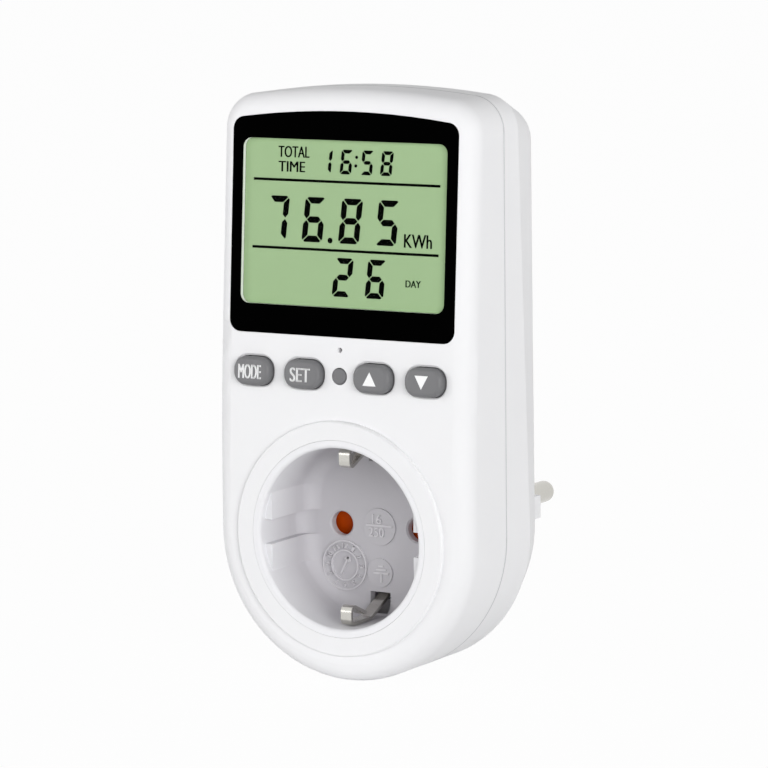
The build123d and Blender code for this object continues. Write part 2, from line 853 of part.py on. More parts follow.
# Plug pins: round pin with a rounded tip, a shoulder in its hole, a flange behind the floor and a spigot
for name, place in zip(("live_pin", "neutral_pin"), pin_places):
    with BuildPart() as pin:
        with BuildSketch(level(-pin_reach)):
            with Locations(place):
                Circle(pin_radius)
        extrude(amount=pin_reach + boss_floor)
        fillet(pin.edges().group_by(Axis.Y)[-1], radius=pin_tip_radius)
        with BuildSketch(level(-pin_shoulder_proud)):
            with Locations(place):
                Circle(pin_shoulder_radius)
        extrude(amount=pin_shoulder_proud + boss_floor)
        with BuildSketch(level(boss_floor)):
            with Locations(place):
                Circle(pin_flange_radius)
        extrude(amount=pin_flange_thickness)
        with BuildSketch(level(boss_floor + pin_flange_thickness)):
            with Locations(place):
                Circle(pin_spigot_radius)
        extrude(amount=pin_spigot_length)
    finish(pin.part, name)

# Pin clamp: disc that holds both flanges against the boss floor
clamp_back = boss_floor + pin_flange_thickness
clamp_front = clamp_back + clamp_thickness
with BuildPart() as pin_clamp:
    with BuildSketch(level(clamp_back)):
        Circle(boss_radius - boss_wall - clamp_gap)
        Rectangle(2 * (boss_flat - boss_wall - clamp_gap), 2 * boss_radius, mode=Mode.INTERSECT)
        with Locations(*pin_places):
            Circle(pin_spigot_radius + clamp_gap, mode=Mode.SUBTRACT)
        with Locations(*clamp_post_places):
            Circle(small_screw_radius + clamp_gap, mode=Mode.SUBTRACT)
    extrude(amount=clamp_thickness)
finish(pin_clamp.part, "pin_clamp")

# Socket contacts: slit sleeves in the carrier's chambers
contact_front = carrier_back - carrier_gap
contact_slit_length = contact_slit_share * (contact_front - bus_front)
for name, place in zip(("live_contact", "neutral_contact"), pin_places):
    with BuildPart() as contact:
        with BuildSketch(level(bus_front)):
            with Locations(place):
                Circle(contact_bore + contact_wall)
                Circle(contact_bore, mode=Mode.SUBTRACT)
        extrude(amount=contact_front - bus_front)
        with BuildSketch(level(contact_front - contact_slit_length)):
            with Locations(place):
                Rectangle(contact_slit, 2 * (contact_bore + contact_wall) + overrun)
        extrude(amount=contact_slit_length + overrun, mode=Mode.SUBTRACT)  # open at the front
    finish(contact.part, name)

# Busbars: on each side a bent one from the plug pin and a flat one from the socket contact
foot_middle = clamp_front + bus_thickness / 2
bus_middle = bus_front - bus_thickness / 2
supply_path = [(foot_middle, 0), (foot_middle, bus_run_height), (bus_middle, bus_run_height),
               (bus_middle, bus_top)]
for name, side, place in zip(("live", "neutral"), (-1, 1), pin_places):
    with BuildPart() as supply_bus:
        add(strip(supply_path, bus_bend_radius, bus_width, bus_thickness,
                  side * (pin_pitch / 2 - bus_offset)))
        with BuildSketch(level(clamp_front)):
            with Locations(place):
                Circle(bus_foot_radius)
        extrude(amount=bus_thickness)
        with BuildSketch(level(clamp_front - overrun)):
            with Locations(place):
                Circle(pin_spigot_radius + clamp_gap)
        extrude(amount=bus_thickness + 2 * overrun, mode=Mode.SUBTRACT)
    finish(supply_bus.part, f"{name}_supply_bus")
    with BuildPart() as outlet_bus:
        with BuildSketch(level(bus_back)):
            with Locations(place):
                Circle((chamber_bore + chamber_radius) / 2)
            with Locations((side * (pin_pitch / 2 + bus_offset), bus_top / 2)):
                Rectangle(bus_width, bus_top)
            with Locations(place):
                Circle(contact_bore, mode=Mode.SUBTRACT)
        extrude(amount=bus_thickness)
    finish(outlet_bus.part, f"{name}_outlet_bus")

# Display window: clear plate flush with the leaning face
with BuildPart() as display_window:
    with BuildSketch(display_level(lens_back)):
        add(window_outline(window_gap))
    extrude(amount=lens_thickness)
finish(display_window.part, "display_window")

# Display mask: thin black film behind the window, open over the visible display
with BuildPart() as display_mask:
    with BuildSketch(display_level(mask_back)):
        add(window_outline(window_gap))
        add(lcd_outline(corner=lcd_corner_radius), mode=Mode.SUBTRACT)
    extrude(amount=mask_thickness)
finish(display_mask.part, "display_mask")

# Display holder: frame on the control board with a pocket for the glass and a lip in front of it
with BuildPart() as lcd_holder:
    with BuildSketch(display_level(board_front)):
        add(glass_outline(display_gap + holder_wall, holder_corner_radius))
    extrude(amount=board_front - mask_back)
    with BuildSketch(display_level(board_front)):
        add(glass_outline(display_gap))
    extrude(amount=board_front - glass_front, mode=Mode.SUBTRACT)
    with BuildSketch(display_level(glass_front)):
        add(lcd_outline(corner=lcd_corner_radius))
    extrude(amount=lcd_recess, mode=Mode.SUBTRACT)
finish(lcd_holder.part, "lcd_holder")

# Display glass: the liquid crystal cell
with BuildPart() as lcd_glass:
    with BuildSketch(display_level(glass_back)):
        add(glass_outline())
    extrude(amount=glass_thickness)
finish(lcd_glass.part, "lcd_glass")

# Light guide behind the glass, short of the connector strip
with BuildPart() as lcd_backlight:
    with BuildSketch(display_level(board_front - display_gap)):
        add(lcd_outline(glass_side_margin, glass_top_margin, glass_bottom_margin - strip_width - display_gap))
    extrude(amount=light_guide_thickness)
finish(lcd_backlight.part, "lcd_backlight")

# Connector strip: elastomer bar between the glass and the control board
with BuildPart() as connector_strip:
    with BuildSketch(display_level(board_front)):
        with Locations((0, slope_height(lcd_bottom) - glass_bottom_margin + strip_width / 2)):
            Rectangle(2 * (lcd_half_width + glass_side_margin), strip_width)
    extrude(amount=board_front - glass_back)
finish(connector_strip.part, "connector_strip")

# Control board: follows the housing, with holes round the upper screw posts
post_hole_height = slope_height(housing_screw_high) + board_back * tan(turn)
with BuildPart() as control_board:
    with BuildSketch(display_level(board_back)):
        with Locations((0, -lean_end_height)):
            add(body_outline(wall + board_edge_gap))
        with Locations((0, slope_height(board_bottom) - body_top / 2)):
            Rectangle(2 * body_half_width, body_top, mode=Mode.SUBTRACT)
        with Locations(*board_post_places):
            Circle(small_screw_radius + head_gap, mode=Mode.SUBTRACT)
        with Locations((-housing_screw_high_offset, post_hole_height),
                       (housing_screw_high_offset, post_hole_height)):
            Circle(housing_post_radius + board_post_gap, mode=Mode.SUBTRACT)
    extrude(amount=board_thickness)
finish(control_board.part, "control_board")

# Controller chip and crystal, on the back of the control board
with BuildPart() as controller_chip:
    with BuildSketch(display_level(board_back)):
        with Locations((0, slope_height(chip_row))):
            Rectangle(chip_size, chip_size)
    extrude(amount=-chip_height)
finish(controller_chip.part, "controller_chip")

with BuildPart() as crystal:
    with BuildSketch(display_level(board_back)):
        with Locations((crystal_offset, slope_height(chip_row))):
            SlotOverall(crystal_length, crystal_width)
    extrude(amount=-crystal_height)
finish(crystal.part, "crystal")

# Key switches: square bodies on the control board, each with a well for its plunger
with BuildPart() as key_switches:
    with BuildSketch(display_level(board_front)):
        with Locations(*switch_places.values()):
            Rectangle(switch_size, switch_size)
    extrude(amount=switch_height)
    with BuildSketch(display_level(switch_top)):
        with Locations(*switch_places.values()):
            Circle(plunger_radius + plunger_gap)
    extrude(amount=-well_depth, mode=Mode.SUBTRACT)
finish(key_switches.part, "key_switches")

# Plungers and keys: each pair travels together, down into its switch
for name, place in switch_places.items():
    with BuildPart() as plunger:
        with BuildSketch(display_level(plunger_end)):
            with Locations(place):
                Circle(plunger_radius)
        extrude(amount=plunger_end - stem_end)
    finish(plunger.part, f"{name}_plunger")

for name, place in key_places.items():
    finish(key(place, key_outline(), key_outline(key_flange_margin), key_proud, key_edge_radius),
           f"{name}_button")
finish(key(reset_place, reset_outline(reset_radius), reset_outline(reset_flange_radius), reset_proud,
           reset_edge_radius), "reset_button")

# Indicator: round lamp on the control board, under its pinhole
with BuildPart() as indicator_led:
    with BuildSketch(display_level(board_front)):
        with Locations(indicator_place):
            Circle(indicator_radius)
    extrude(amount=board_front - wall - indicator_drop)
    fillet(indicator_led.edges().sort_by(Axis.Y)[0], radius=indicator_radius * indicator_dome_share)
finish(indicator_led.part, "indicator_led")

# Power board
with BuildPart() as power_board:
    with BuildSketch(level(power_back)):
        with Locations((0, (power_bottom + power_top) / 2)):
            RectangleRounded(2 * power_half_width, power_top - power_bottom, power_corner_radius)
        with Locations(*power_post_places):
            Circle(small_screw_radius + head_gap, mode=Mode.SUBTRACT)
    extrude(amount=board_thickness)
finish(power_board.part, "power_board")

# Current shunt: bridge from the live supply side to the live outlet side
shunt_left = -pin_pitch / 2 - bus_offset
shunt_right = -pin_pitch / 2 + bus_offset
with BuildPart() as current_shunt:
    with BuildSketch(Plane(origin=(0, 0, shunt_row), x_dir=turned_profile.x_dir, z_dir=turned_profile.z_dir)):
        with BuildLine():
            FilletPolyline((shunt_left, power_front), (shunt_left, power_front + shunt_rise),
                           (shunt_right, power_front + shunt_rise), (shunt_right, power_front),
                           radius=shunt_thickness)
        trace(line_width=shunt_thickness)
    extrude(amount=shunt_width / 2, both=True)
finish(current_shunt.part, "current_shunt")

# Mains capacitor: moulded box
with BuildPart() as mains_capacitor:
    with BuildSketch(level(power_front)):
        with Locations((0, capacitor_row)):
            Rectangle(capacitor_width, capacitor_height)
    extrude(amount=capacitor_depth)
    fillet(mains_capacitor.faces().sort_by(Axis.Y)[0].edges(), radius=capacitor_edge_radius)
finish(mains_capacitor.part, "mains_capacitor")

# Smoothing capacitor: can that stands on the board
with BuildPart() as smoothing_capacitor:
    with BuildSketch(level(power_front)):
        with Locations((smoothing_offset, smoothing_row)):
            Circle(smoothing_radius)
    extrude(amount=smoothing_length)
    fillet(smoothing_capacitor.edges().sort_by(Axis.Y)[0], radius=capacitor_edge_radius)
finish(smoothing_capacitor.part, "smoothing_capacitor")

# Varistor: disc that stands on its edge
with BuildPart() as varistor:
    with BuildSketch(Plane.XY.offset(varistor_row - varistor_thickness / 2)):
        with Locations((varistor_offset, -power_front - varistor_radius - solder_gap)):
            Circle(varistor_radius)
    extrude(amount=varistor_thickness)
    fillet(varistor.edges().filter_by(GeomType.CIRCLE), radius=capacitor_edge_radius)
finish(varistor.part, "varistor")

# Metering chip
with BuildPart() as metering_chip:
    with BuildSketch(level(power_front)):
        with Locations((-meter_chip_offset, meter_chip_row)):
            Rectangle(meter_chip_width, meter_chip_height)
    extrude(amount=meter_chip_depth)
finish(metering_chip.part, "metering_chip")

# Backup battery: cylinder that lies across the board and keeps the readings
with BuildPart() as backup_battery:
    with BuildSketch(Plane.YZ.offset(-battery_offset)):
        with Locations((-power_front - battery_radius - solder_gap, battery_row)):
            Circle(battery_radius)
    extrude(amount=battery_length / 2, both=True)
    fillet(backup_battery.edges().filter_by(GeomType.CIRCLE), radius=capacitor_edge_radius)
finish(backup_battery.part, "backup_battery")

# Link header: pins that carry the power board's signals to the control board
header_end = lean_depth(header_row, board_back) - display_gap
with BuildPart() as link_header:
    with BuildSketch(level(power_front)):
        with Locations((0, header_row)):
            Rectangle(header_width, header_height)
    extrude(amount=header_housing)
    with BuildSketch(level(power_front + header_housing)):
        with Locations((0, header_row)):
            with GridLocations(header_pitch, header_height, header_pins, 1):
                Circle(header_pin_radius)
    extrude(amount=header_end - power_front - header_housing)
finish(link_header.part, "link_header")

# Screws
small_reach = small_pilot_depth - screw_end_gap
finish(screw(level(head_seat - housing_head_height), housing_screw_places, housing_screw_radius,
             housing_tube_floor + housing_pilot_depth - screw_end_gap, housing_head_radius,
             housing_head_height), "housing_screws")
finish(screw(display_level(board_back + small_head_height), board_post_places, small_screw_radius,
             board_thickness + small_reach, small_head_radius, small_head_height), "control_board_screws")
finish(screw(level(power_front + small_head_height), power_post_places, small_screw_radius,
             board_thickness + small_reach, small_head_radius, small_head_height, -1), "power_board_screws")
finish(screw(level(clamp_front + small_head_height), clamp_post_places, small_screw_radius,
             clamp_thickness + small_reach, small_head_radius, small_head_height, -1), "clamp_screws")
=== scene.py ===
"""Plug-in energy meter: its finishes, the fine work on its case, socket, display and keys, and a studio.

Lengths are millimetres in the part's own frame unless a class names another unit, and become metres
when a piece is built: X runs to the right of someone who faces the meter, Y back and Z up.
"""

from __future__ import annotations

import json
import logging
import math
from dataclasses import dataclass, field
from functools import cached_property

import bmesh
import bpy
from mathutils import Matrix, Vector


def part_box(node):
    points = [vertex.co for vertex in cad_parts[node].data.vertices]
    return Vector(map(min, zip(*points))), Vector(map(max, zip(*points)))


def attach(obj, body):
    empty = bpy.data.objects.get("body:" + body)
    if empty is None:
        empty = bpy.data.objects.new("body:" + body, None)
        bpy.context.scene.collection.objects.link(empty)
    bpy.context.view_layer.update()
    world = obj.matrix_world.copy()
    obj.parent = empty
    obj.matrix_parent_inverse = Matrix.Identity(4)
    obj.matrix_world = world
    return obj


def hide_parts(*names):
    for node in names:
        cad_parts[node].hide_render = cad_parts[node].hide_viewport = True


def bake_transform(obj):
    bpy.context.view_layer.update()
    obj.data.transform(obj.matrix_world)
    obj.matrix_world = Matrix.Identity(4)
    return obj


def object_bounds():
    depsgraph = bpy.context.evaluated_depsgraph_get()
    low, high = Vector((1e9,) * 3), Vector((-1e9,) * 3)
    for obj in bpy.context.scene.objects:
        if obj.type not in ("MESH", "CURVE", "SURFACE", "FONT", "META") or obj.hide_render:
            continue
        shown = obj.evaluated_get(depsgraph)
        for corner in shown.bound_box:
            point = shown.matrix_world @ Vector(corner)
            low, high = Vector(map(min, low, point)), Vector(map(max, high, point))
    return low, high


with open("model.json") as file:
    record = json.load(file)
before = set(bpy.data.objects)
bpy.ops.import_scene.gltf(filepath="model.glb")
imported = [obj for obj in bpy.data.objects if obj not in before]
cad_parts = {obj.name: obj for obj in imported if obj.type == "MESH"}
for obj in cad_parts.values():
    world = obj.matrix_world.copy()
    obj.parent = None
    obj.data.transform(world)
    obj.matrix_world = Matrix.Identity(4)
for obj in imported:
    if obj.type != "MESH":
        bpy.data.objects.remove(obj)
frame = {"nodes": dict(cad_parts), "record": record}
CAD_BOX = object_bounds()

log = logging.getLogger("energy_meter")

MM = 0.001
METER_BODY = "meter"
STRAIGHT = 1e5
WHITE = (1.0, 1.0, 1.0, 1.0)
Point = tuple[float, float]
Range = tuple[float, float]
Tone = tuple[int, int, int]
Triple = tuple[float, float, float]
TextBox = tuple[str, Point, Point]
Node = bpy.types.Node
Socket = bpy.types.NodeSocket


def linear(tone: Tone) -> tuple[float, float, float, float]:
    """Turn an 8-bit display colour into the linear one that a socket takes.

    Args:
        tone: Red, green and blue from 0 to 255.

    Returns:
        Linear red, green, blue and an alpha of 1.
    """
    red, green, blue = (share / 12.92 if share <= 0.04045 else ((share + 0.055) / 1.055) ** 2.4
                        for share in (value / 255 for value in tone))
    return (red, green, blue, 1.0)


def placed(name: str, data: bpy.types.ID) -> bpy.types.Object:
    """Put a new object into the scene.

    Args:
        name: The object's name.
        data: Its mesh, curve, lamp or camera.

    Returns:
        The object.
    """
    made = bpy.data.objects.new(name, data)
    bpy.context.scene.collection.objects.link(made)
    return made


def away(start: Point, distance: float, heading: float) -> Point:
    """Point at this distance from another, on a heading in radians from the right, anticlockwise."""
    return (start[0] + distance * math.cos(heading), start[1] + distance * math.sin(heading))


def circle(centre: Point, radius: float, sides: int) -> list[Point]:
    """Corners of a regular polygon round a centre, anticlockwise."""
    return [away(centre, radius, 2 * math.pi * step / sides) for step in range(sides)]


def middle_of(corner: Point, size: Point) -> Point:
    """Middle of a box that has this lower left corner."""
    return (corner[0] + size[0] / 2, corner[1] + size[1] / 2)


def towards(azimuth: float, height: float) -> Vector:
    """Direction at this azimuth to the right of the meter's front and this height, both in radians."""
    level = math.cos(height)
    return Vector((math.sin(azimuth) * level, -math.cos(azimuth) * level, math.sin(height)))


@dataclass
class Board:
    """Node tree under construction: a material's, the world's or a group's."""

    tree: bpy.types.NodeTree

    @classmethod
    def over(cls, owner: bpy.types.Material | bpy.types.World) -> Board:
        """Take up an owner's node tree and clear it.

        Args:
            owner: Material or world, which uses nodes from here on.

        Returns:
            Board over the empty tree.
        """
        owner.use_nodes = True
        owner.node_tree.nodes.clear()
        return cls(owner.node_tree)

    def add(self, kind: str, **values: object) -> Node:
        """Add a node and set its options and inputs in the order given.

        Args:
            kind: Blender's node type.
            values: Options and input values, with underscores for the blanks in the inputs' names.

        Returns:
            The new node.
        """
        node = self.tree.nodes.new(kind)
        for name, value in values.items():
            socket = node.inputs.get(name.replace("_", " "))
            if socket is None:
                setattr(node, name, value)
            else:
                socket.default_value = value
        return node

    def find(self, kind: str) -> Node:
        """First node of this type."""
        return next(node for node in self.tree.nodes if node.type == kind)

    def link(self, source: Socket, target: Socket) -> None:
        """Join an output to an input."""
        self.tree.links.new(source, target)

    def feed(self, source: Node, target: Node, *names: str) -> None:
        """Join a node's outputs to another node's inputs of the same names."""
        for name in names:
            self.link(source.outputs[name], target.inputs[name])

    def sum_of(self, first: Socket, second: Socket, operation: str = "ADD") -> Socket:
        """Combine two values.

        Args:
            first: First value.
            second: Second value.
            operation: Name of the Math node's operation.

        Returns:
            The result's output.
        """
        node = self.add("ShaderNodeMath", operation=operation)
        self.link(first, node.inputs[0])
        self.link(second, node.inputs[1])
        return node.outputs[0]

    def tint(self, share: Socket, first: Tone | Socket, second: Tone) -> Socket:
        """Mix two colours.

        Args:
            share: Share of the second colour.
            first: First colour, or the output that gives it.
            second: Second colour.

        Returns:
            The mixed colour's output.
        """
        node = self.add("ShaderNodeMix", data_type="RGBA")
        low, high = (socket for socket in node.inputs if socket.type == "RGBA")
        if isinstance(first, tuple):
            low.default_value = linear(first)
        else:
            self.link(first, low)
        high.default_value = linear(second)
        self.link(share, node.inputs[0])
        return next(socket for socket in node.outputs if socket.type == "RGBA")

    def mix(self, share: Socket, first: Node, second: Node) -> Socket:
        """Mix two shaders.

        Args:
            share: Share of the second shader.
            first: Node of the first shader.
            second: Node of the second shader.

        Returns:
            The mixed shader's output.
        """
        node = self.add("ShaderNodeMixShader")
        for source, target in zip((share, first.outputs[0], second.outputs[0]), node.inputs):
            self.link(source, target)
        return node.outputs[0]


class Effects:
    """Node groups that the finishes share, each built when it is first asked for."""

    def _start(self, name: str, vectors: list[str], values: list[str],
               results: list[str]) -> tuple[Board, Node, Node]:
        """Make an empty group with its sockets.

        Args:
            name: Group's name.
            vectors: Names of the inputs that take a vector.
            values: Names of the inputs that take a value.
            results: Names of the outputs, which all give a value.

        Returns:
            Board over the new group, its input node and its output node.
        """
        board = Board(bpy.data.node_groups.new(name, "ShaderNodeTree"))
        for side, kind, labels in (("INPUT", "Vector", vectors), ("INPUT", "Float", values),
                                   ("OUTPUT", "Float", results)):
            for label in labels:
                board.tree.interface.new_socket(name=label, in_out=side, socket_type=f"NodeSocket{kind}")
        return board, board.add("NodeGroupInput"), board.add("NodeGroupOutput")

    @cached_property
    def grain(self) -> bpy.types.NodeTree:
        """Build spark-eroded grain as a height: fine noise and soft cells.

        Returns:
            The group.
        """
        board, given, result = self._start("fine_grain", ["Vector"], ["Scale"], ["Height"])
        fine = board.add("ShaderNodeTexNoise", Detail=3.0, Roughness=0.6)
        cells = board.add("ShaderNodeTexVoronoi", feature="SMOOTH_F1", Smoothness=0.6)
        for texture in (fine, cells):
            board.feed(given, texture, "Vector", "Scale")
        total = board.sum_of(fine.outputs["Fac"], cells.outputs["Distance"])
        board.link(total, result.inputs["Height"])
        return board.tree

    @cached_property
    def brushing(self) -> bpy.types.NodeTree:
        """Build drawn or rolled lines as a height: noise stretched along one direction.

        Returns:
            The group.
        """
        board, given, result = self._start("brushed_lines", ["Vector", "Stretch"], ["Scale"], ["Height"])
        stretched = board.add("ShaderNodeVectorMath", operation="MULTIPLY")
        board.link(given.outputs["Vector"], stretched.inputs[0])
        board.link(given.outputs["Stretch"], stretched.inputs[1])
        lines = board.add("ShaderNodeTexNoise", Detail=4.0, Roughness=0.7)
        board.link(stretched.outputs[0], lines.inputs["Vector"])
        board.feed(given, lines, "Scale")
        board.link(lines.outputs["Fac"], result.inputs["Height"])
        return board.tree

    @cached_property
    def handling(self) -> bpy.types.NodeTree:
        """Build slow drift over a surface: a roughness between two limits, and a mask.

        Returns:
            The group.
        """
        board, given, result = self._start("handling_drift", ["Vector"], ["Scale", "Low", "High"],
                                           ["Roughness", "Mask"])
        drift = board.add("ShaderNodeTexNoise", Detail=5.0, Roughness=0.55)
        board.feed(given, drift, "Vector", "Scale")
        spread = board.add("ShaderNodeMapRange", From_Min=0.3, From_Max=0.7)
        board.link(drift.outputs["Fac"], spread.inputs["Value"])
        board.link(given.outputs["Low"], spread.inputs["To Min"])
        board.link(given.outputs["High"], spread.inputs["To Max"])
        board.link(spread.outputs["Result"], result.inputs["Roughness"])
        board.link(drift.outputs["Fac"], result.inputs["Mask"])
        return board.tree


EFFECTS = Effects()


@dataclass(frozen=True)
class Finish:
    """Opaque finish of one kind of surface.

    The colour drifts between two tones, the roughness between two limits, and the relief is a bump
    whose depth is in metres.
    """

    name: str
    tone: Tone
    drift_tone: Tone
    rough: Range = (0.4, 0.5)
    metallic: float = 0.0
    ior: float = 1.45
    specular: float = 0.5
    coat: float = 0.0
    coat_rough: float = 0.08
    grain_scale: float = 2400.0
    grain_depth: float = 4e-6
    bump: float = 0.25
    drift_scale: float = 60.0

    @property
    def title(self) -> str:
        """Material's name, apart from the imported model's own materials."""
        return f"{self.name}_finish"

    def relief(self, board: Board) -> Node:
        """Add the group that gives the grain's height."""
        return board.add("ShaderNodeGroup", node_tree=EFFECTS.grain, Scale=self.grain_scale)

    def dress(self, board: Board) -> None:
        """Build the material's nodes.

        Args:
            board: Empty board over the material's tree.
        """
        output = board.add("ShaderNodeOutputMaterial")
        shader = board.add("ShaderNodeBsdfPrincipled", Metallic=self.metallic, IOR=self.ior,
                           Specular_IOR_Level=self.specular, Coat_Weight=self.coat,
                           Coat_Roughness=self.coat_rough)
        place = board.add("ShaderNodeTexCoord").outputs["Object"]
        drift = board.add("ShaderNodeGroup", node_tree=EFFECTS.handling, Scale=self.drift_scale,
                          Low=self.rough[0], High=self.rough[1])
        relief = self.relief(board)
        for group in (drift, relief):
            board.link(place, group.inputs["Vector"])
        board.feed(drift, shader, "Roughness")
        tone = board.tint(drift.outputs["Mask"], self.tone, self.drift_tone)
        board.link(tone, shader.inputs["Base Color"])
        bump = board.add("ShaderNodeBump", Strength=self.bump, Distance=self.grain_depth)
        board.feed(relief, bump, "Height")
        board.feed(bump, shader, "Normal")
        board.link(shader.outputs["BSDF"], output.inputs["Surface"])

    def material(self) -> bpy.types.Material:
        """Build the material, or take it if it is there already.

        Returns:
            The material.
        """
        made = bpy.data.materials.get(self.title)
        if made is None:
            made = bpy.data.materials.new(self.title)
            self.dress(Board.over(made))
        return made


@dataclass(frozen=True)
class MetalFinish(Finish):
    """Bare or plated metal with the fine lines of drawing or rolling."""

    metallic: float = 1.0
    ior: float = 1.5
    grain_scale: float = 4000.0
    stretch: Triple = (1.0, 0.03, 1.0)

    def relief(self, board: Board) -> Node:
        """Add the group that gives the lines' height."""
        return board.add("ShaderNodeGroup", node_tree=EFFECTS.brushing, Scale=self.grain_scale,
                         Stretch=self.stretch)


@dataclass(frozen=True)
class ClearFinish(Finish):
    """Clear moulding that lets the lamps through to what lies behind it."""

    def dress(self, board: Board) -> None:
        """Build the clear material: glass to the eye, open to shadow and diffuse rays.

        Args:
            board: Empty board over the material's tree.
        """
        super().dress(board)
        shader, output = board.find("BSDF_PRINCIPLED"), board.find("OUTPUT_MATERIAL")
        shader.inputs["Transmission Weight"].default_value = 1.0
        path = board.add("ShaderNodeLightPath")
        opened = board.sum_of(path.outputs["Is Shadow Ray"], path.outputs["Is Diffuse Ray"], "MAXIMUM")
        through = board.add("ShaderNodeBsdfTransparent")
        board.link(board.mix(opened, shader, through), output.inputs["Surface"])


@dataclass(frozen=True)
class CupFinish(Finish):
    """Socket insert: the housing's white at its lip, greyed down in the cup by painted shade that deepens
    towards the floor.
    """

    # Painted shade: the tone that the cup reaches deep down, towards its floor.
    cup_tone: Tone = (203, 201, 205)
    lip_depth: float = -56.6
    cup_depth: float = -45.0

    def dress(self, board: Board) -> None:
        """Build the material with painted shade: a greyer tone that starts under the lip and deepens into
        the recess.

        Args:
            board: Empty board over the material's tree.
        """
        super().dress(board)
        base = board.find("BSDF_PRINCIPLED").inputs["Base Color"]
        white = base.links[0].from_socket
        # Painted shade: the white turns greyer with depth into the recess, from lip_depth to cup_depth.
        parts = board.add("ShaderNodeSeparateXYZ")
        board.link(board.add("ShaderNodeTexCoord").outputs["Object"], parts.inputs[0])
        depth = board.add("ShaderNodeMapRange", From_Min=self.lip_depth * MM, From_Max=self.cup_depth * MM)
        board.link(parts.outputs["Y"], depth.inputs["Value"])
        board.link(board.tint(depth.outputs["Result"], white, self.cup_tone), base)


FINISHES: dict[str, Finish] = {finish.name: finish for finish in (
    Finish("housing_white", (242, 242, 243), (239, 239, 241), rough=(0.42, 0.52), specular=0.25),
    # The insert's white, darkened down in the cup by painted shade.
    CupFinish("insert_white", (241, 241, 243), (238, 238, 241), rough=(0.42, 0.52), specular=0.25),
    Finish("shutter_orange", (187, 67, 0), (180, 62, 0), rough=(0.45, 0.55), specular=0.1),
    Finish("key_grey", (116, 116, 118), (110, 110, 112), rough=(0.42, 0.52), grain_depth=6e-6),
    ClearFinish("window_clear", (255, 255, 255), (252, 252, 252), rough=(0.0, 0.02), ior=1.06, bump=0.02,
                grain_scale=300.0, grain_depth=1e-6),
    Finish("mask_black", (2, 2, 2), (1, 1, 1), rough=(0.5, 0.6), ior=1.02),
    Finish("lcd_green", (163, 190, 146), (160, 188, 143), rough=(0.25, 0.35), ior=1.1, bump=0.1),
    Finish("light_guide", (236, 237, 233), (230, 232, 228), rough=(0.5, 0.6)),
    Finish("strip_rubber", (190, 120, 128), (182, 112, 120), rough=(0.6, 0.7)),
    MetalFinish("nickel", (208, 206, 200), (192, 190, 184), rough=(0.16, 0.28), grain_scale=5000.0,
                grain_depth=3e-6, stretch=(1.0, 0.04, 0.04)),
    MetalFinish("brass_bare", (224, 196, 128), (212, 182, 112), rough=(0.2, 0.34)),
    MetalFinish("spring_steel", (205, 205, 208), (190, 190, 194), rough=(0.2, 0.3)),
    MetalFinish("screw_steel", (200, 200, 204), (182, 182, 188), rough=(0.24, 0.4), grain_scale=3000.0,
                stretch=(0.2, 1.0, 0.2)),
    Finish("board_green", (34, 104, 62), (26, 90, 52), rough=(0.3, 0.42), coat=0.3, grain_scale=900.0,
           grain_depth=1e-5),
    Finish("chip_black", (34, 34, 37), (28, 28, 30), rough=(0.5, 0.62)),
    MetalFinish("can_silver", (206, 206, 209), (194, 194, 198), rough=(0.2, 0.34), grain_scale=2600.0),
    Finish("box_yellow", (208, 180, 80), (200, 170, 70), rough=(0.4, 0.5)),
    Finish("disc_blue", (52, 96, 168), (44, 84, 152), rough=(0.28, 0.4)),
    Finish("sleeve_dark", (28, 34, 58), (22, 26, 46), rough=(0.2, 0.3)),
    Finish("sleeve_green", (66, 150, 84), (56, 138, 74), rough=(0.2, 0.3)),
    Finish("lamp_red", (190, 34, 26), (176, 26, 20), rough=(0.1, 0.2)),
    Finish("plunger_ivory", (216, 208, 186), (208, 200, 176), rough=(0.4, 0.5)),
)}

LCD_INK = Finish("lcd_ink", (4, 6, 4), (3, 4, 3), rough=(0.6, 0.7), ior=1.02, bump=0.02)
LCD_THIN_INK = Finish("lcd_thin_ink", (34, 52, 32), (28, 46, 27), rough=(0.5, 0.6), ior=1.03)
MOULDED_MARK = Finish("moulded_mark", (222, 220, 223), (218, 216, 220), rough=(0.3, 0.4), specular=0.35,
                      grain_scale=1600.0, grain_depth=2e-6)
# Painted shade: darker tone of the strip that stands in for the shadow in the seam's groove.
SEAM_PAINTED_SHADE = Finish("seam_painted_shade", (206, 206, 208), (200, 200, 203), rough=(0.6, 0.7), specular=0.1)
LEGEND_WHITE = Finish("legend_white", (250, 250, 250), (246, 246, 247), rough=(0.45, 0.55))


@dataclass(frozen=True)
class Face:
    """Flat surface that carries thin work: its origin in millimetres and its axes."""

    origin: Triple
    up: Triple
    normal: Triple

    def matrix(self) -> Matrix:
        """Work out where the face's millimetres (across, up, outwards) lie in the part's metres.

        Returns:
            Matrix from the face to the part.
        """
        up, out = Vector(self.up), Vector(self.normal)
        turned = Matrix((up.cross(out), up, out)).transposed().to_4x4()
        return Matrix.Translation(Vector(self.origin) * MM) @ turned @ Matrix.Scale(MM, 4)

    def moved(self, across: float = 0.0, upwards: float = 0.0, outwards: float = 0.0) -> Face:
        """Take a parallel face whose origin is moved along this one's axes.

        Args:
            across: Distance to the right.
            upwards: Distance up the face.
            outwards: Distance out of the face.

        Returns:
            The new face.
        """
        up, out = Vector(self.up), Vector(self.normal)
        origin = Vector(self.origin) + up.cross(out) * across + up * upwards + out * outwards
        return Face(tuple(origin), self.up, self.normal)


def upright(depth: float) -> Face:
    """Upright face at this Y that looks to the front."""
    return Face((0.0, depth, 0.0), (0.0, 0.0, 1.0), (0.0, -1.0, 0.0))


LEAN = math.radians(3.8)
LEANING_FACE = Face((0.0, -54.874, 44.963), (0.0, math.sin(LEAN), math.cos(LEAN)),
                    (0.0, -math.cos(LEAN), math.sin(LEAN)))
RECESS_FLOOR = upright(-39.5)


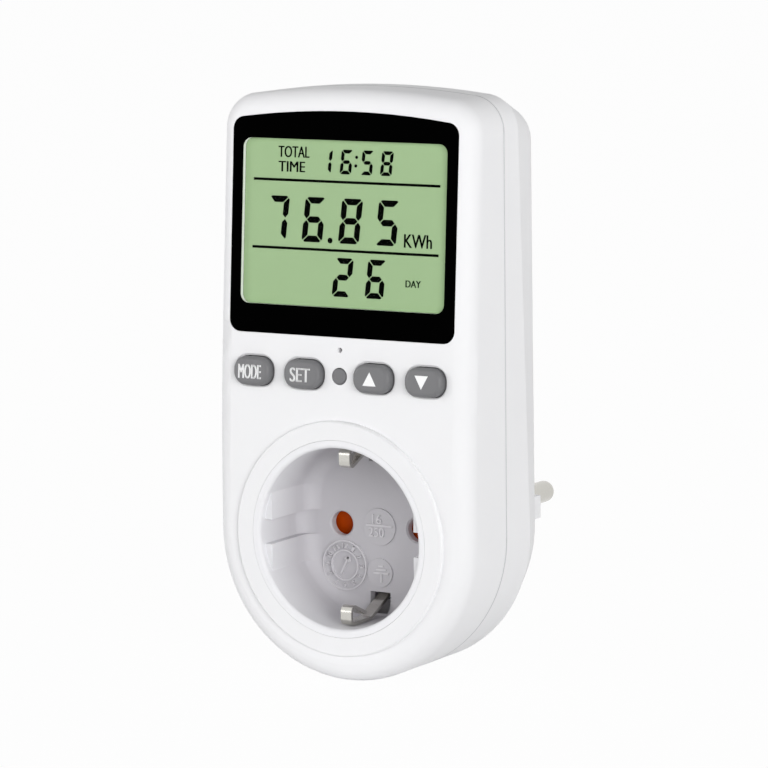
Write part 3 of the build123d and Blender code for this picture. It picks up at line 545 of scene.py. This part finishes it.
@dataclass
class ThinWork:
    """Thin raised or printed shapes on a face, gathered into one piece.

    Its levels are heights over the face, and its outlines run anticlockwise as seen from outside.
    """

    name: str
    face: Face
    mesh: bmesh.types.BMesh = field(default_factory=bmesh.new)
    letter_half: float = 0.5
    letter_steps: int = 5
    bevel_steps: int = 2

    def loft(self, sections: list[list[Triple]], closed: bool = False) -> None:
        """Join sections of as many points each.

        Args:
            sections: Points of each section, in the same order round it.
            closed: Whether the last section joins the first. Otherwise both ends are capped.
        """
        rows = [[self.mesh.verts.new(point) for point in section] for section in sections]
        for first, second in zip(rows, rows[1:] + (rows[:1] if closed else [])):
            for step in range(len(first)):
                after = (step + 1) % len(first)
                self.mesh.faces.new((first[step], first[after], second[after], second[step]))
        if not closed:
            self.mesh.faces.new(rows[0])
            self.mesh.faces.new(rows[-1][::-1])

    def plate(self, outline: list[Point], low: float, high: float) -> None:
        """Add a plate with this outline between two levels."""
        self.loft([[(x, y, level) for x, y in outline] for level in (high, low)])

    def disc(self, centre: Point, radius: float, low: float, high: float, sides: int = 64) -> None:
        """Add a round plate between two levels."""
        self.plate(circle(centre, radius, sides), low, high)

    def frame(self, outer: list[Point], inner: list[Point], low: float, high: float) -> None:
        """Add a flat frame between two outlines with as many points each."""
        rims = ((outer, low), (outer, high), (inner, high), (inner, low))
        self.loft([[(x, y, level) for x, y in outline] for outline, level in rims], closed=True)

    def ring(self, centre: Point, outer: float, inner: float, low: float, high: float,
             sides: int = 72) -> None:
        """Add a flat ring between two radii and two levels."""
        self.frame(circle(centre, outer, sides), circle(centre, inner, sides), low, high)

    def ribbon(self, line: list[Point], thickness: float, low: float, high: float) -> None:
        """Add a flat wire that stands on edge along a line.

        Args:
            line: Points of its middle line.
            thickness: Its thickness across the line.
            low: Lower level.
            high: Upper level.
        """
        sections = []
        for index, (x, y) in enumerate(line):
            before, after = line[max(index - 1, 0)], line[min(index + 1, len(line) - 1)]
            share = thickness / 2 / math.dist(before, after)
            step_x, step_y = (after[1] - before[1]) * share, (before[0] - after[0]) * share
            sections.append([(x + side * step_x, y + side * step_y, level)
                             for side, level in ((1, low), (1, high), (-1, high), (-1, low))])
        self.loft(sections)

    def words(self, text: str, centre: Point, size: Point, low: float, high: float,
              weight: float = 0.0, bold: float = 0.0, turn: float = 0.0) -> None:
        """Add lettering that fills a box.

        Args:
            text: What it says.
            centre: The box's middle.
            size: The box's width and height.
            low: Lower level.
            high: Upper level.
            weight: Share of the letter size that the strokes gain on each side.
            bold: Distance that the strokes gain to the left and to the right.
            turn: Angle that the lettering is turned by, in radians.
        """
        curve = bpy.data.curves.new("lettering", "FONT")
        curve.body, curve.offset = text, weight
        curve.extrude, curve.resolution_u = self.letter_half, self.letter_steps
        writer = placed("lettering", curve)
        shown = writer.evaluated_get(bpy.context.evaluated_depsgraph_get())
        letters = bpy.data.meshes.new_from_object(shown)
        bpy.data.objects.remove(writer)
        xs = [vertex.co.x for vertex in letters.vertices]
        ys = [vertex.co.y for vertex in letters.vertices]
        wide, tall = max(xs) - min(xs), max(ys) - min(ys)
        middle = Matrix.Translation((-(min(xs) + max(xs)) / 2, -(min(ys) + max(ys)) / 2, self.letter_half))
        scale = Matrix.Diagonal(((size[0] - 2 * bold) / wide, size[1] / tall, high - low, 1.0))
        place = Matrix.Translation((centre[0], centre[1], low)) @ Matrix.Rotation(turn, 4, "Z")
        letters.transform(place @ scale @ middle)
        for shift in ((-bold, 2 * bold) if bold else (0.0,)):
            letters.transform(Matrix.Translation((shift, 0.0, 0.0)))
            self.mesh.from_mesh(letters)
        bpy.data.meshes.remove(letters)

    def build(self, finish: Finish, slot: str, body: str = METER_BODY,
              bevel: float = 0.0) -> bpy.types.Object:
        """Turn the gathered shapes into a piece on its face.

        Args:
            finish: The piece's finish.
            slot: The record's material slot that it belongs to.
            body: The CAD body that it rides on, or nothing for a piece that rides on no body.
            bevel: Width of the bevel on its edges.

        Returns:
            The new object.
        """
        self.mesh.transform(self.face.matrix())
        bmesh.ops.recalc_face_normals(self.mesh, faces=self.mesh.faces)
        data = bpy.data.meshes.new(self.name)
        self.mesh.to_mesh(data)
        self.mesh.free()
        data.materials.append(finish.material())
        piece = placed(self.name, data)
        if bevel > 0:
            rounding = piece.modifiers.new("edge", "BEVEL")
            rounding.width, rounding.segments = bevel * MM, self.bevel_steps
            rounding.limit_method = "ANGLE"
        if body:
            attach(piece, body)
        log.info("%s: %d faces on %s", self.name, len(data.polygons), body or "two bodies")
        return piece


def rounded_outline(half: float, low: float, high: float, radius: float,
                    arch: float = STRAIGHT) -> list[Point]:
    """Outline with straight sides and foot, round corners and an arched top.

    Args:
        half: Half of its width.
        low: Height of its foot.
        high: Height of the middle of its top.
        radius: Radius of its corners.
        arch: Radius of its top, which is as good as straight if left out.

    Returns:
        Points in anticlockwise order, as many for any sizes.
    """
    corner_steps, top_steps = 8, 16
    middle, side = high - arch, half - radius
    shoulder = middle + math.sqrt((arch - radius) ** 2 - side ** 2)
    tilt = math.atan2(shoulder - middle, side)
    shares = [step / corner_steps for step in range(corner_steps + 1)]
    right = [away((side, low + radius), radius, (share - 1) * math.pi / 2) for share in shares]
    right += [away((side, shoulder), radius, tilt * share) for share in shares]
    top = [away((0.0, middle), arch, tilt + (math.pi - 2 * tilt) * step / top_steps)
           for step in range(1, top_steps)]
    return right + top + [(-x, y) for x, y in reversed(right)]


def drawn_in(outline: list[Point], inset: float) -> list[Point]:
    """Move every side of a convex outline inwards.

    Args:
        outline: Corners in anticlockwise order.
        inset: Distance that each side moves.

    Returns:
        The corners of the smaller outline.
    """
    corners = []
    for before, corner, after in zip(outline[-1:] + outline, outline, outline[1:] + outline[:1]):
        arriving = (Vector(corner) - Vector(before)).normalized()
        leaving = (Vector(after) - Vector(corner)).normalized()
        corners.append(Vector(corner) + (leaving - arriving) * inset / arriving.cross(leaving))
    return [(corner.x, corner.y) for corner in corners]


@dataclass(frozen=True)
class DigitStyle:
    """Seven-segment digit: its size, the width of its bars, and the gap between them."""

    width: float
    height: float
    bar: float
    gap: float
    slant: float = math.tan(math.radians(5.4))
    corner_share: float = 0.5
    waist_share: float = 0.6

    def segments(self) -> dict[str, list[Point]]:
        """Work out the outlines of the seven bars.

        Returns:
            Anticlockwise outlines by the bars' usual letters.
        """
        wide, tall, bar, cut = self.width, self.height, self.bar, self.bar * self.corner_share
        middle = tall / 2
        top = [(cut / 2, tall - cut / 2), (bar, tall - bar), (wide - bar, tall - bar),
               (wide - cut / 2, tall - cut / 2), (wide - cut, tall), (cut, tall)]
        right = [(wide - bar, tall - bar), (wide - bar, middle + bar / 2), (wide - bar / 2, middle),
                 (wide, middle + bar * self.waist_share), (wide, tall - cut),
                 (wide - cut / 2, tall - cut / 2)]
        bridge = [(bar / 2, middle), (bar, middle - bar / 2), (wide - bar, middle - bar / 2),
                  (wide - bar / 2, middle), (wide - bar, middle + bar / 2), (bar, middle + bar / 2)]
        bars = {"a": top, "b": right, "g": bridge}
        bars["f"] = [(wide - x, y) for x, y in reversed(right)]
        bars["c"] = [(x, tall - y) for x, y in reversed(right)]
        bars["d"] = [(x, tall - y) for x, y in reversed(top)]
        bars["e"] = [(wide - x, tall - y) for x, y in right]
        return bars

    def lay(self, work: ThinWork, digit: str, left: float, foot: float, high: float) -> None:
        """Lay one digit.

        Args:
            work: The piece that takes it.
            digit: The figure.
            left: Left end of its foot.
            foot: Height of its foot.
            high: Thickness of the ink.
        """
        lit = {"0": "abcdef", "1": "bc", "2": "abged", "3": "abgcd", "4": "fgbc", "5": "afgcd",
               "6": "afgecd", "7": "abc", "8": "abcdefg", "9": "abcdfg"}[digit]
        bars = self.segments()
        for letter in lit:
            outline = drawn_in(bars[letter], self.gap / 2)
            work.plate([(left + x + self.slant * y, foot + y) for x, y in outline], 0.0, high)


Reading = tuple[DigitStyle, float, tuple[tuple[str, float], ...]]


@dataclass
class Display:
    """Front of the display: black print, pale edge, the cell's front plate and what it shows.

    A reading holds its digits' style, the height of their feet, and each digit with its left end. A dot
    holds its place and radius, a rule its height and its two ends, and a word its lower left corner and
    its size.
    """

    window_outline: tuple[float, ...] = (27.44, -2.16, 45.2, 2.64, 190.0)
    view_outline: tuple[float, ...] = (24.87, 3.98, 39.12, 2.0)
    print_rise: float = 0.03
    edge_width: float = 0.12
    edge_depth: float = 1.0
    plate_gap: float = 0.04
    plate_depth: float = 1.03
    plate_thickness: float = 1.05
    ink: float = 0.02
    readings: tuple[Reading, ...] = (
        (DigitStyle(2.96, 5.3, 0.92, 0.14), 31.98, (("1", -6.67), ("6", -1.69), ("5", 3.38), ("8", 8.13))),
        (DigitStyle(5.3, 9.7, 1.56, 0.2), 17.4, (("7", -19.75), ("6", -10.75), ("8", -1.76), ("5", 7.22))),
        (DigitStyle(4.7, 8.4, 1.42, 0.2), 6.18, (("2", -3.0), ("6", 5.04))),
    )
    dots: tuple[Triple, ...] = ((-3.55, 18.02, 0.6), (2.5, 35.7, 0.35), (2.34, 33.9, 0.35))
    dot_sides: int = 32
    rules: tuple[Triple, ...] = ((30.39, -22.78, 22.81), (15.99, -22.78, 22.76))
    rule_width: float = 0.56
    large_words: tuple[TextBox, ...] = (
        ("TOTAL", (-16.76, 35.17), (7.73, 2.39)),
        ("TIME", (-16.68, 32.13), (6.62, 2.21)),
        ("KWh", (14.39, 17.3), (6.75, 2.84)),
    )
    small_words: tuple[TextBox, ...] = (("DAY", (14.99, 9.08), (3.74, 1.46)),)
    word_bold: float = 0.07

    def surround(self) -> None:
        """Build the black print on the window, the pale edge under it and the cell's front plate."""
        half, low, high, radius = self.view_outline
        view = rounded_outline(*self.view_outline)
        black = ThinWork("window_print", LEANING_FACE)
        black.frame(rounded_outline(*self.window_outline), view, 0.0, self.print_rise)
        black.build(FINISHES["mask_black"], "mask_black")
        wide = self.edge_width
        edge = ThinWork("display_edge", LEANING_FACE)
        edge.frame(rounded_outline(half + wide, low - wide, high + wide, radius + wide), view,
                   -self.edge_depth, 0.0)
        edge.build(FINISHES["light_guide"], "light_guide")
        gap = self.plate_gap
        front = ThinWork("display_front", LEANING_FACE.moved(outwards=-self.plate_depth))
        front.plate(rounded_outline(half - gap, low + gap, high - gap, radius - gap),
                    -self.plate_thickness, 0.0)
        front.build(FINISHES["lcd_green"], "lcd_green")

    def build(self) -> None:
        """Build the surround, the digits, the rules and the words."""
        self.surround()
        glass = LEANING_FACE.moved(outwards=-self.plate_depth)
        digits = ThinWork("display_digits", glass)
        for style, foot, places in self.readings:
            for digit, left in places:
                style.lay(digits, digit, left, foot, self.ink)
        for x, y, radius in self.dots:
            digits.disc((x, y), radius, 0.0, self.ink, self.dot_sides)
        digits.build(LCD_INK, "lcd_green")
        rules = ThinWork("display_rules", glass)
        for height, left, right in self.rules:
            low, high = height - self.rule_width / 2, height + self.rule_width / 2
            rules.plate([(left, low), (right, low), (right, high), (left, high)], 0.0, self.ink)
        rules.build(LCD_INK, "lcd_green")
        for name, boxes, finish in (("display_words", self.large_words, LCD_INK),
                                    ("display_small_word", self.small_words, LCD_THIN_INK)):
            words = ThinWork(name, glass)
            for text, corner, size in boxes:
                words.words(text, middle_of(corner, size), size, 0.0, self.ink, bold=self.word_bold)
            words.build(finish, "lcd_green")


@dataclass
class Keys:
    """Legends printed on the four long keys, each riding on its own key."""

    row: float = -10.3858
    outer: float = 21.0
    inner: float = 8.5
    proud: float = 1.7
    ink: float = 0.03
    shift: float = -0.2
    drop: float = 0.12
    bold: float = 0.08
    mode_size: Point = (5.7, 3.05)
    set_size: Point = (5.0, 3.0)
    arrow_size: Point = (3.2, 2.9)

    def legend(self, name: str, across: float) -> ThinWork:
        """Start a legend at the middle of the face of the key that stands at this X."""
        return ThinWork(f"{name}_legend", LEANING_FACE.moved(across + self.shift, self.row, self.proud))

    def build(self) -> None:
        """Build the two words and the two arrows."""
        for name, across, size in (("mode", -self.outer, self.mode_size),
                                   ("set", -self.inner, self.set_size)):
            word = self.legend(name, across)
            word.words(name.upper(), (0.0, -self.drop), size, -self.ink, self.ink, bold=self.bold)
            word.build(LEGEND_WHITE, "key_grey", f"{name}_key")
        half, tall = self.arrow_size[0] / 2, self.arrow_size[1] / 2
        for name, across, way in (("up", self.inner, 1), ("down", self.outer, -1)):
            arrow = self.legend(name, across)
            corners = [(way * x, way * y) for x, y in ((-half, -tall), (half, -tall), (0.0, tall))]
            arrow.plate(corners, -self.ink, self.ink)
            arrow.build(LEGEND_WHITE, "key_grey", f"{name}_key")


@dataclass
class SocketMarks:
    """Raised marks on the floor of the recess: plain ratings, a mould dial and the earth symbol.

    A rating holds its lower left corner and its size, and an earth bar its height and its length.
    """

    disc_rise: float = 0.3
    disc_bevel: float = 0.06
    mark_rise: float = 0.6
    sunk: float = 0.05
    line: float = 0.42
    letter_weight: float = 0.008
    rating_radius: float = 4.0
    ratings: tuple[TextBox, ...] = (("16", (-1.6, 0.65), (2.3, 2.1)), ("250", (-2.5, -2.2), (3.8, 2.1)))
    rating_bar_middle: Point = (0.1, 0.32)
    rating_bar_length: float = 6.4
    dial_centre: Point = (-8.6, -9.0)
    dial_radius: float = 5.5
    dial_line: float = 0.3
    dial_band: float = 2.1
    hours: int = 12
    figure_inset: float = 1.25
    figure_size: Point = (0.62, 1.0)
    pointer_heading: float = 1.1
    pointer_length: float = 4.2
    barb_swing: float = 2.5
    barb_reach: float = 0.5
    barb_length: float = 1.2
    earth_centre: Point = (0.0, -10.0)
    earth_radius: float = 3.15
    earth_shift: float = 0.5
    earth_bars: tuple[Point, ...] = ((1.5, 1.3), (0.75, 2.5), (0.0, 3.7))
    stem_drop: float = 1.05
    stem_length: float = 2.0

    def disc(self, name: str, centre: Point, radius: float) -> None:
        """Build a low round disc.

        Args:
            name: The piece's name.
            centre: The disc's middle.
            radius: Its radius.
        """
        disc = ThinWork(name, RECESS_FLOOR)
        disc.disc(centre, radius, -self.sunk, self.disc_rise)
        disc.build(FINISHES["insert_white"], "insert_white", bevel=self.disc_bevel)

    def bar(self, work: ThinWork, middle: Point, length: float, heading: float = 0.0) -> None:
        """Add a raised bar.

        Args:
            work: The piece that takes it.
            middle: Its middle.
            length: Its length.
            heading: Angle from the right that it runs at, in radians.
        """
        ends = [away(middle, side * length / 2, heading) for side in (-1, 1)]
        sides = [away(end, side * self.line / 2, heading + math.pi / 2) for end in ends for side in (-1, 1)]
        work.plate([sides[0], sides[2], sides[3], sides[1]], 0.0, self.mark_rise)

    def rating(self) -> None:
        """Build the disc with the current over the voltage."""
        self.disc("rating_disc", (0.0, 0.0), self.rating_radius)
        marks = ThinWork("rating_marks", RECESS_FLOOR)
        for text, corner, size in self.ratings:
            marks.words(text, middle_of(corner, size), size, 0.0, self.mark_rise, self.letter_weight)
        self.bar(marks, self.rating_bar_middle, self.rating_bar_length)
        marks.build(MOULDED_MARK, "insert_white")

    def dial(self) -> None:
        """Build the mould dial: two rings, twelve numbers between them, and a pointer."""
        dial = ThinWork("mould_dial", RECESS_FLOOR)
        for radius in (self.dial_radius, self.dial_radius - self.dial_band):
            dial.ring(self.dial_centre, radius, radius - self.dial_line, -self.sunk, self.mark_rise)
        for hour in range(1, self.hours + 1):
            turn = -2 * math.pi * hour / self.hours
            spot = away(self.dial_centre, self.dial_radius - self.figure_inset, math.pi / 2 + turn)
            size = (self.figure_size[0] * len(str(hour)), self.figure_size[1])
            dial.words(str(hour), spot, size, 0.0, self.mark_rise, self.letter_weight, turn=turn)
        self.bar(dial, self.dial_centre, self.pointer_length, self.pointer_heading)
        tip = away(self.dial_centre, self.pointer_length / 2, self.pointer_heading)
        for swing in (self.barb_swing, -self.barb_swing):
            heading = self.pointer_heading + swing
            self.bar(dial, away(tip, self.barb_reach, heading), self.barb_length, heading)
        dial.build(MOULDED_MARK, "insert_white")

    def earth(self) -> None:
        """Build the disc with the earth symbol."""
        self.disc("earth_disc", self.earth_centre, self.earth_radius)
        marks = ThinWork("earth_symbol", RECESS_FLOOR)
        x, y = self.earth_centre[0] + self.earth_shift, self.earth_centre[1]
        for rise, length in self.earth_bars:
            self.bar(marks, (x, y + rise), length)
        self.bar(marks, (x, y - self.stem_drop), self.stem_length, math.pi / 2)
        marks.build(MOULDED_MARK, "insert_white")

    def build(self) -> None:
        """Build all the marks."""
        self.rating()
        self.dial()
        self.earth()


@dataclass
class Seam:
    """Painted shade of the groove between the two halves of the case: a darker strip laid on both of its
    bevels.
    """

    halves: tuple[str, str] = ("front_housing", "rear_housing")
    parting: float = 39.4
    reach: float = 0.26
    cover: float = 0.02
    slant: Range = (0.5, 0.9)
    centre: Point = (0.0, 35.0)

    def in_groove(self, face: bmesh.types.BMFace) -> bool:
        """Tell whether a face is one of the groove's bevels.

        Args:
            face: Face of one half of the case, in millimetres as seen from the front.

        Returns:
            True for a slanting face at the parting that looks outwards.
        """
        levels = [abs(vertex.co.z - self.parting) for vertex in face.verts]
        outwards = face.normal.xy.dot(face.calc_center_median().xy - Vector(self.centre)) > 0
        return max(levels) < self.reach and self.slant[0] < abs(face.normal.z) < self.slant[1] and outwards

    def build(self) -> None:
        """Cover the bevels with a thin darker strip, painted shade of the groove, that stays inside the
        case's own box.
        """
        seam = ThinWork("case_seam_painted_shade", upright(0.0))
        for half in self.halves:
            seam.mesh.from_mesh(frame["nodes"][half].data)
        seam.mesh.transform(seam.face.matrix().inverted())
        seam.mesh.normal_update()
        others = [face for face in seam.mesh.faces if not self.in_groove(face)]
        bmesh.ops.delete(seam.mesh, geom=others, context="FACES")
        bmesh.ops.solidify(seam.mesh, geom=list(seam.mesh.faces), thickness=-self.cover)
        (left, _, foot), (right, _, top) = ([value / MM for value in corner] for corner in CAD_BOX)
        for vertex in seam.mesh.verts:
            vertex.co.x = min(max(vertex.co.x, left), right)
            vertex.co.y = min(max(vertex.co.y, foot), top)
        seam.build(SEAM_PAINTED_SHADE, "housing_white")


@dataclass
class CupFillet:
    """Soft round between the wall and the floor of the recess, open at the grooves and the windows."""

    wall: float = 19.4
    flat: float = 17.45
    radius: float = 3.2
    groove: float = 2.65
    window: float = 2.5
    profile_steps: int = 12
    flat_steps: int = 4
    arc_steps: int = 30
    crease: float = math.radians(20.0)

    def arc(self, radius: float, start: float, end: float) -> list[Point]:
        """Points on a circle round the recess's axis between two angles."""
        angles = [start + (end - start) * step / self.arc_steps for step in range(self.arc_steps + 1)]
        return [away((0.0, 0.0), radius, angle) for angle in angles]

    def quarter_line(self, inset: float) -> list[Point]:
        """Work out a line from a groove along the flat and the round wall to a window.

        Args:
            inset: Distance that the line keeps from the wall.

        Returns:
            The line's points, as many for any inset.
        """
        wall, flat = self.wall - inset, self.flat - inset
        bend = math.sqrt(wall ** 2 - flat ** 2)
        rise = (bend - self.groove) / self.flat_steps
        side = [(flat, self.groove + rise * step) for step in range(self.flat_steps)]
        return side + self.arc(wall, math.acos(flat / wall), math.acos(self.window / wall))

    def groove_line(self, inset: float) -> list[Point]:
        """Points across the end of a groove, at this distance from the wall."""
        reach = math.asin(self.groove / (self.wall - inset))
        return self.arc(self.wall - inset, -reach, reach)

    def build(self) -> None:
        """Build the four quarters and the two groove ends as one piece."""
        turns = [math.pi / 2 * step / self.profile_steps for step in range(self.profile_steps + 1)]
        insets = [self.radius * (1 - math.cos(turn)) for turn in turns] + [0.0]
        heights = [self.radius * (1 - math.sin(turn)) for turn in turns] + [0.0]
        fillet = ThinWork("cup_fillet", RECESS_FLOOR)
        for line, ups in ((self.quarter_line, (1, -1)), (self.groove_line, (1,))):
            sections = list(zip(*(line(inset) for inset in insets)))
            for across in (1, -1):
                for up in ups:
                    fillet.loft([[(across * x, up * y, height) for (x, y), height in zip(section, heights)]
                                 for section in sections])
        piece = fillet.build(FINISHES["insert_white"], "insert_white")
        piece.data.shade_smooth()
        piece.data.set_sharp_from_angle(angle=self.crease)


@dataclass
class ShutterSpring:
    """Hairpin spring of the shutter, built at rest: on the real part one leg turns with the shutter's pad
    and the other stays, but nothing here turns it.
    """

    node: str = "shutter_spring"
    thickness: float = 0.3
    corner: float = 1.4
    corner_steps: int = 8
    leg_share: float = 0.45
    line: tuple[Point, ...] = ((9.4, -4.475), (-1.475, -4.475), (-1.475, -9.875), (1.2, -9.875),
                               (4.8, -11.05), (7.4, -11.2), (9.33, -9.97), (11.0, -9.97))
    still: float = -8.0
    turned: float = -4.6
    step: float = 0.3

    def rounded(self) -> list[Point]:
        """Round the line's corners.

        Returns:
            Points at nearly even distances along the rounded line.
        """
        corners = [Vector(point) for point in self.line]
        path = [corners[0]]
        for before, corner, after in zip(corners, corners[1:], corners[2:]):
            back, ahead = before - corner, after - corner
            most = self.leg_share * min(back.length, ahead.length)
            back.normalize()
            ahead.normalize()
            cut = min(self.corner * math.tan((math.pi - back.angle(ahead)) / 2), most)
            for share in (step / self.corner_steps for step in range(self.corner_steps + 1)):
                path.append(corner + back * cut * (1 - share) ** 2 + ahead * cut * share ** 2)
        path.append(corners[-1])
        even = [path[0]]
        for first, second in zip(path, path[1:]):
            count = max(1, round((second - first).length / self.step))
            even += [first.lerp(second, part / count) for part in range(1, count + 1)]
        return [(point.x, point.y) for point in even]

    def build(self) -> None:
        """Build the spring in the node's place, between the carrier and the shutter."""
        low, high = (corner.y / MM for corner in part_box(self.node))
        wire = ThinWork("shutter_hairpin", upright(high))
        wire.ribbon(self.rounded(), self.thickness, 0.0, high - low)
        piece = wire.build(FINISHES["spring_steel"], "spring_steel", "")
        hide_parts(self.node)
        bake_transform(piece)


@dataclass
class Carried:
    """CAD nodes that keep their shape and take a finish from their slot."""

    def build(self) -> None:
        """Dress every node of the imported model."""
        slots = {row["node"]: row["material_slot"] for row in frame["record"]["subparts"]}
        for name, node in frame["nodes"].items():
            finish = FINISHES[slots[name]]
            node.data.materials.clear()
            node.data.materials.append(finish.material())
            log.info("%s: %s", name, finish.name)


@dataclass(frozen=True)
class SoftBox:
    """Round soft lamp that faces the meter, placed in degrees from its front and in metres."""

    name: str
    azimuth: float
    height: float
    power: float
    size: float = 1.0
    distance: float = 1.6
    aim: Triple = (0.0, -40.0, 35.0)

    def build(self) -> None:
        """Hang the lamp, which stands to the right of the meter's front at a positive azimuth."""
        data = bpy.data.lights.new(self.name, "AREA")
        data.shape, data.size, data.energy = "DISK", self.size, self.power
        lamp = placed(self.name, data)
        direction = towards(math.radians(self.azimuth), math.radians(self.height))
        lamp.location = Vector(self.aim) * MM + direction * self.distance
        lamp.rotation_euler = direction.to_track_quat("Z", "Y").to_euler()


@dataclass
class Studio:
    """White studio: world, floor, two soft lamps and the camera.

    The floor's half width and the camera's clipping distances are in metres.
    """

    camera_place: Triple = (443.35, -790.45, 153.11)
    yaw: float = math.radians(30.475)
    rise: float = math.radians(7.974)
    roll: float = math.radians(0.621)
    focal_pixels: float = 4121.3
    frame_pixels: float = 768.0
    sensor: float = 36.0
    clipping: Range = (0.01, 20.0)
    horizon: float = 0.85
    zenith: float = 0.1
    lamps: tuple[SoftBox, ...] = (SoftBox("right_box", 52.0, 6.0, 17.5),
                                  SoftBox("left_box", -50.0, 6.0, 10.0))
    floor_height: float = -31.05
    floor_half: float = 4.0
    floor_colour: tuple[float, ...] = (0.9, 0.9, 0.9, 1.0)
    floor_glow: float = 0.97

    def seen(self, board: Board) -> Socket:
        """Add the mask of the rays that show the background: camera, glossy and transmission rays.

        Args:
            board: Node tree that takes it.

        Returns:
            The mask's output.
        """
        path = board.add("ShaderNodeLightPath")
        first = board.sum_of(path.outputs["Is Camera Ray"], path.outputs["Is Glossy Ray"], "MAXIMUM")
        return board.sum_of(first, path.outputs["Is Transmission Ray"], "MAXIMUM")

    def world(self) -> None:
        """White world whose light on the object fades from the horizon up to the zenith."""
        world = bpy.data.worlds.new("studio")
        board = Board.over(world)
        output = board.add("ShaderNodeOutputWorld")
        ambient = board.add("ShaderNodeBackground", Color=WHITE)
        backdrop = board.add("ShaderNodeBackground", Color=WHITE, Strength=1.0)
        direction = board.add("ShaderNodeSeparateXYZ")
        board.link(board.add("ShaderNodeTexCoord").outputs["Generated"], direction.inputs[0])
        level = board.add("ShaderNodeMapRange", To_Min=self.horizon, To_Max=self.zenith)
        board.link(direction.outputs["Z"], level.inputs["Value"])
        board.link(level.outputs["Result"], ambient.inputs["Strength"])
        board.link(board.mix(self.seen(board), ambient, backdrop), output.inputs["Surface"])
        bpy.context.scene.world = world

    def floor(self) -> None:
        """Pale floor that shows almost white and keeps a faint shadow."""
        made = bpy.data.materials.new("floor_pale")
        board = Board.over(made)
        output = board.add("ShaderNodeOutputMaterial")
        diffuse = board.add("ShaderNodeBsdfDiffuse", Color=self.floor_colour)
        glow = board.add("ShaderNodeEmission", Color=WHITE, Strength=1.0)
        share = board.add("ShaderNodeMath", operation="MULTIPLY")
        share.inputs[1].default_value = self.floor_glow
        board.link(self.seen(board), share.inputs[0])
        board.link(board.mix(share.outputs[0], diffuse, glow), output.inputs["Surface"])
        half, height = self.floor_half, self.floor_height * MM
        corners = [(x, y, height) for x, y in ((-half, -half), (half, -half), (half, half), (-half, half))]
        data = bpy.data.meshes.new("studio_floor")
        data.from_pydata(corners, [], [(0, 1, 2, 3)])
        data.materials.append(made)
        placed("studio_floor", data)

    def camera(self) -> None:
        """Camera at the photograph's place, angle and focal length."""
        data = bpy.data.cameras.new("view")
        data.sensor_width = self.sensor
        data.lens = self.focal_pixels / self.frame_pixels * self.sensor
        data.clip_start, data.clip_end = self.clipping
        right = Vector((math.cos(self.yaw), math.sin(self.yaw), 0.0))
        back = towards(self.yaw, self.rise)
        up = back.cross(right)
        rolled_right = math.cos(self.roll) * right - math.sin(self.roll) * up
        rolled_up = math.sin(self.roll) * right + math.cos(self.roll) * up
        turned = Matrix((rolled_right, rolled_up, back)).transposed().to_4x4()
        camera = placed("view", data)
        camera.matrix_world = Matrix.Translation(Vector(self.camera_place) * MM) @ turned
        bpy.context.scene.camera = camera

    def build(self) -> None:
        """Build the studio and set how colours are shown."""
        self.world()
        self.floor()
        for lamp in self.lamps:
            lamp.build()
        self.camera()
        bpy.context.scene.view_settings.view_transform = "Standard"


def main() -> None:
    """Build the studio and every piece of the meter in order."""
    logging.basicConfig(level=logging.INFO, format="%(name)s %(message)s")
    for assembly in (Studio(), Carried(), Seam(), CupFillet(), ShutterSpring(), Display(), Keys(),
                     SocketMarks()):
        assembly.build()
        log.info("%s done", type(assembly).__name__)


if __name__ == "__main__":
    main()
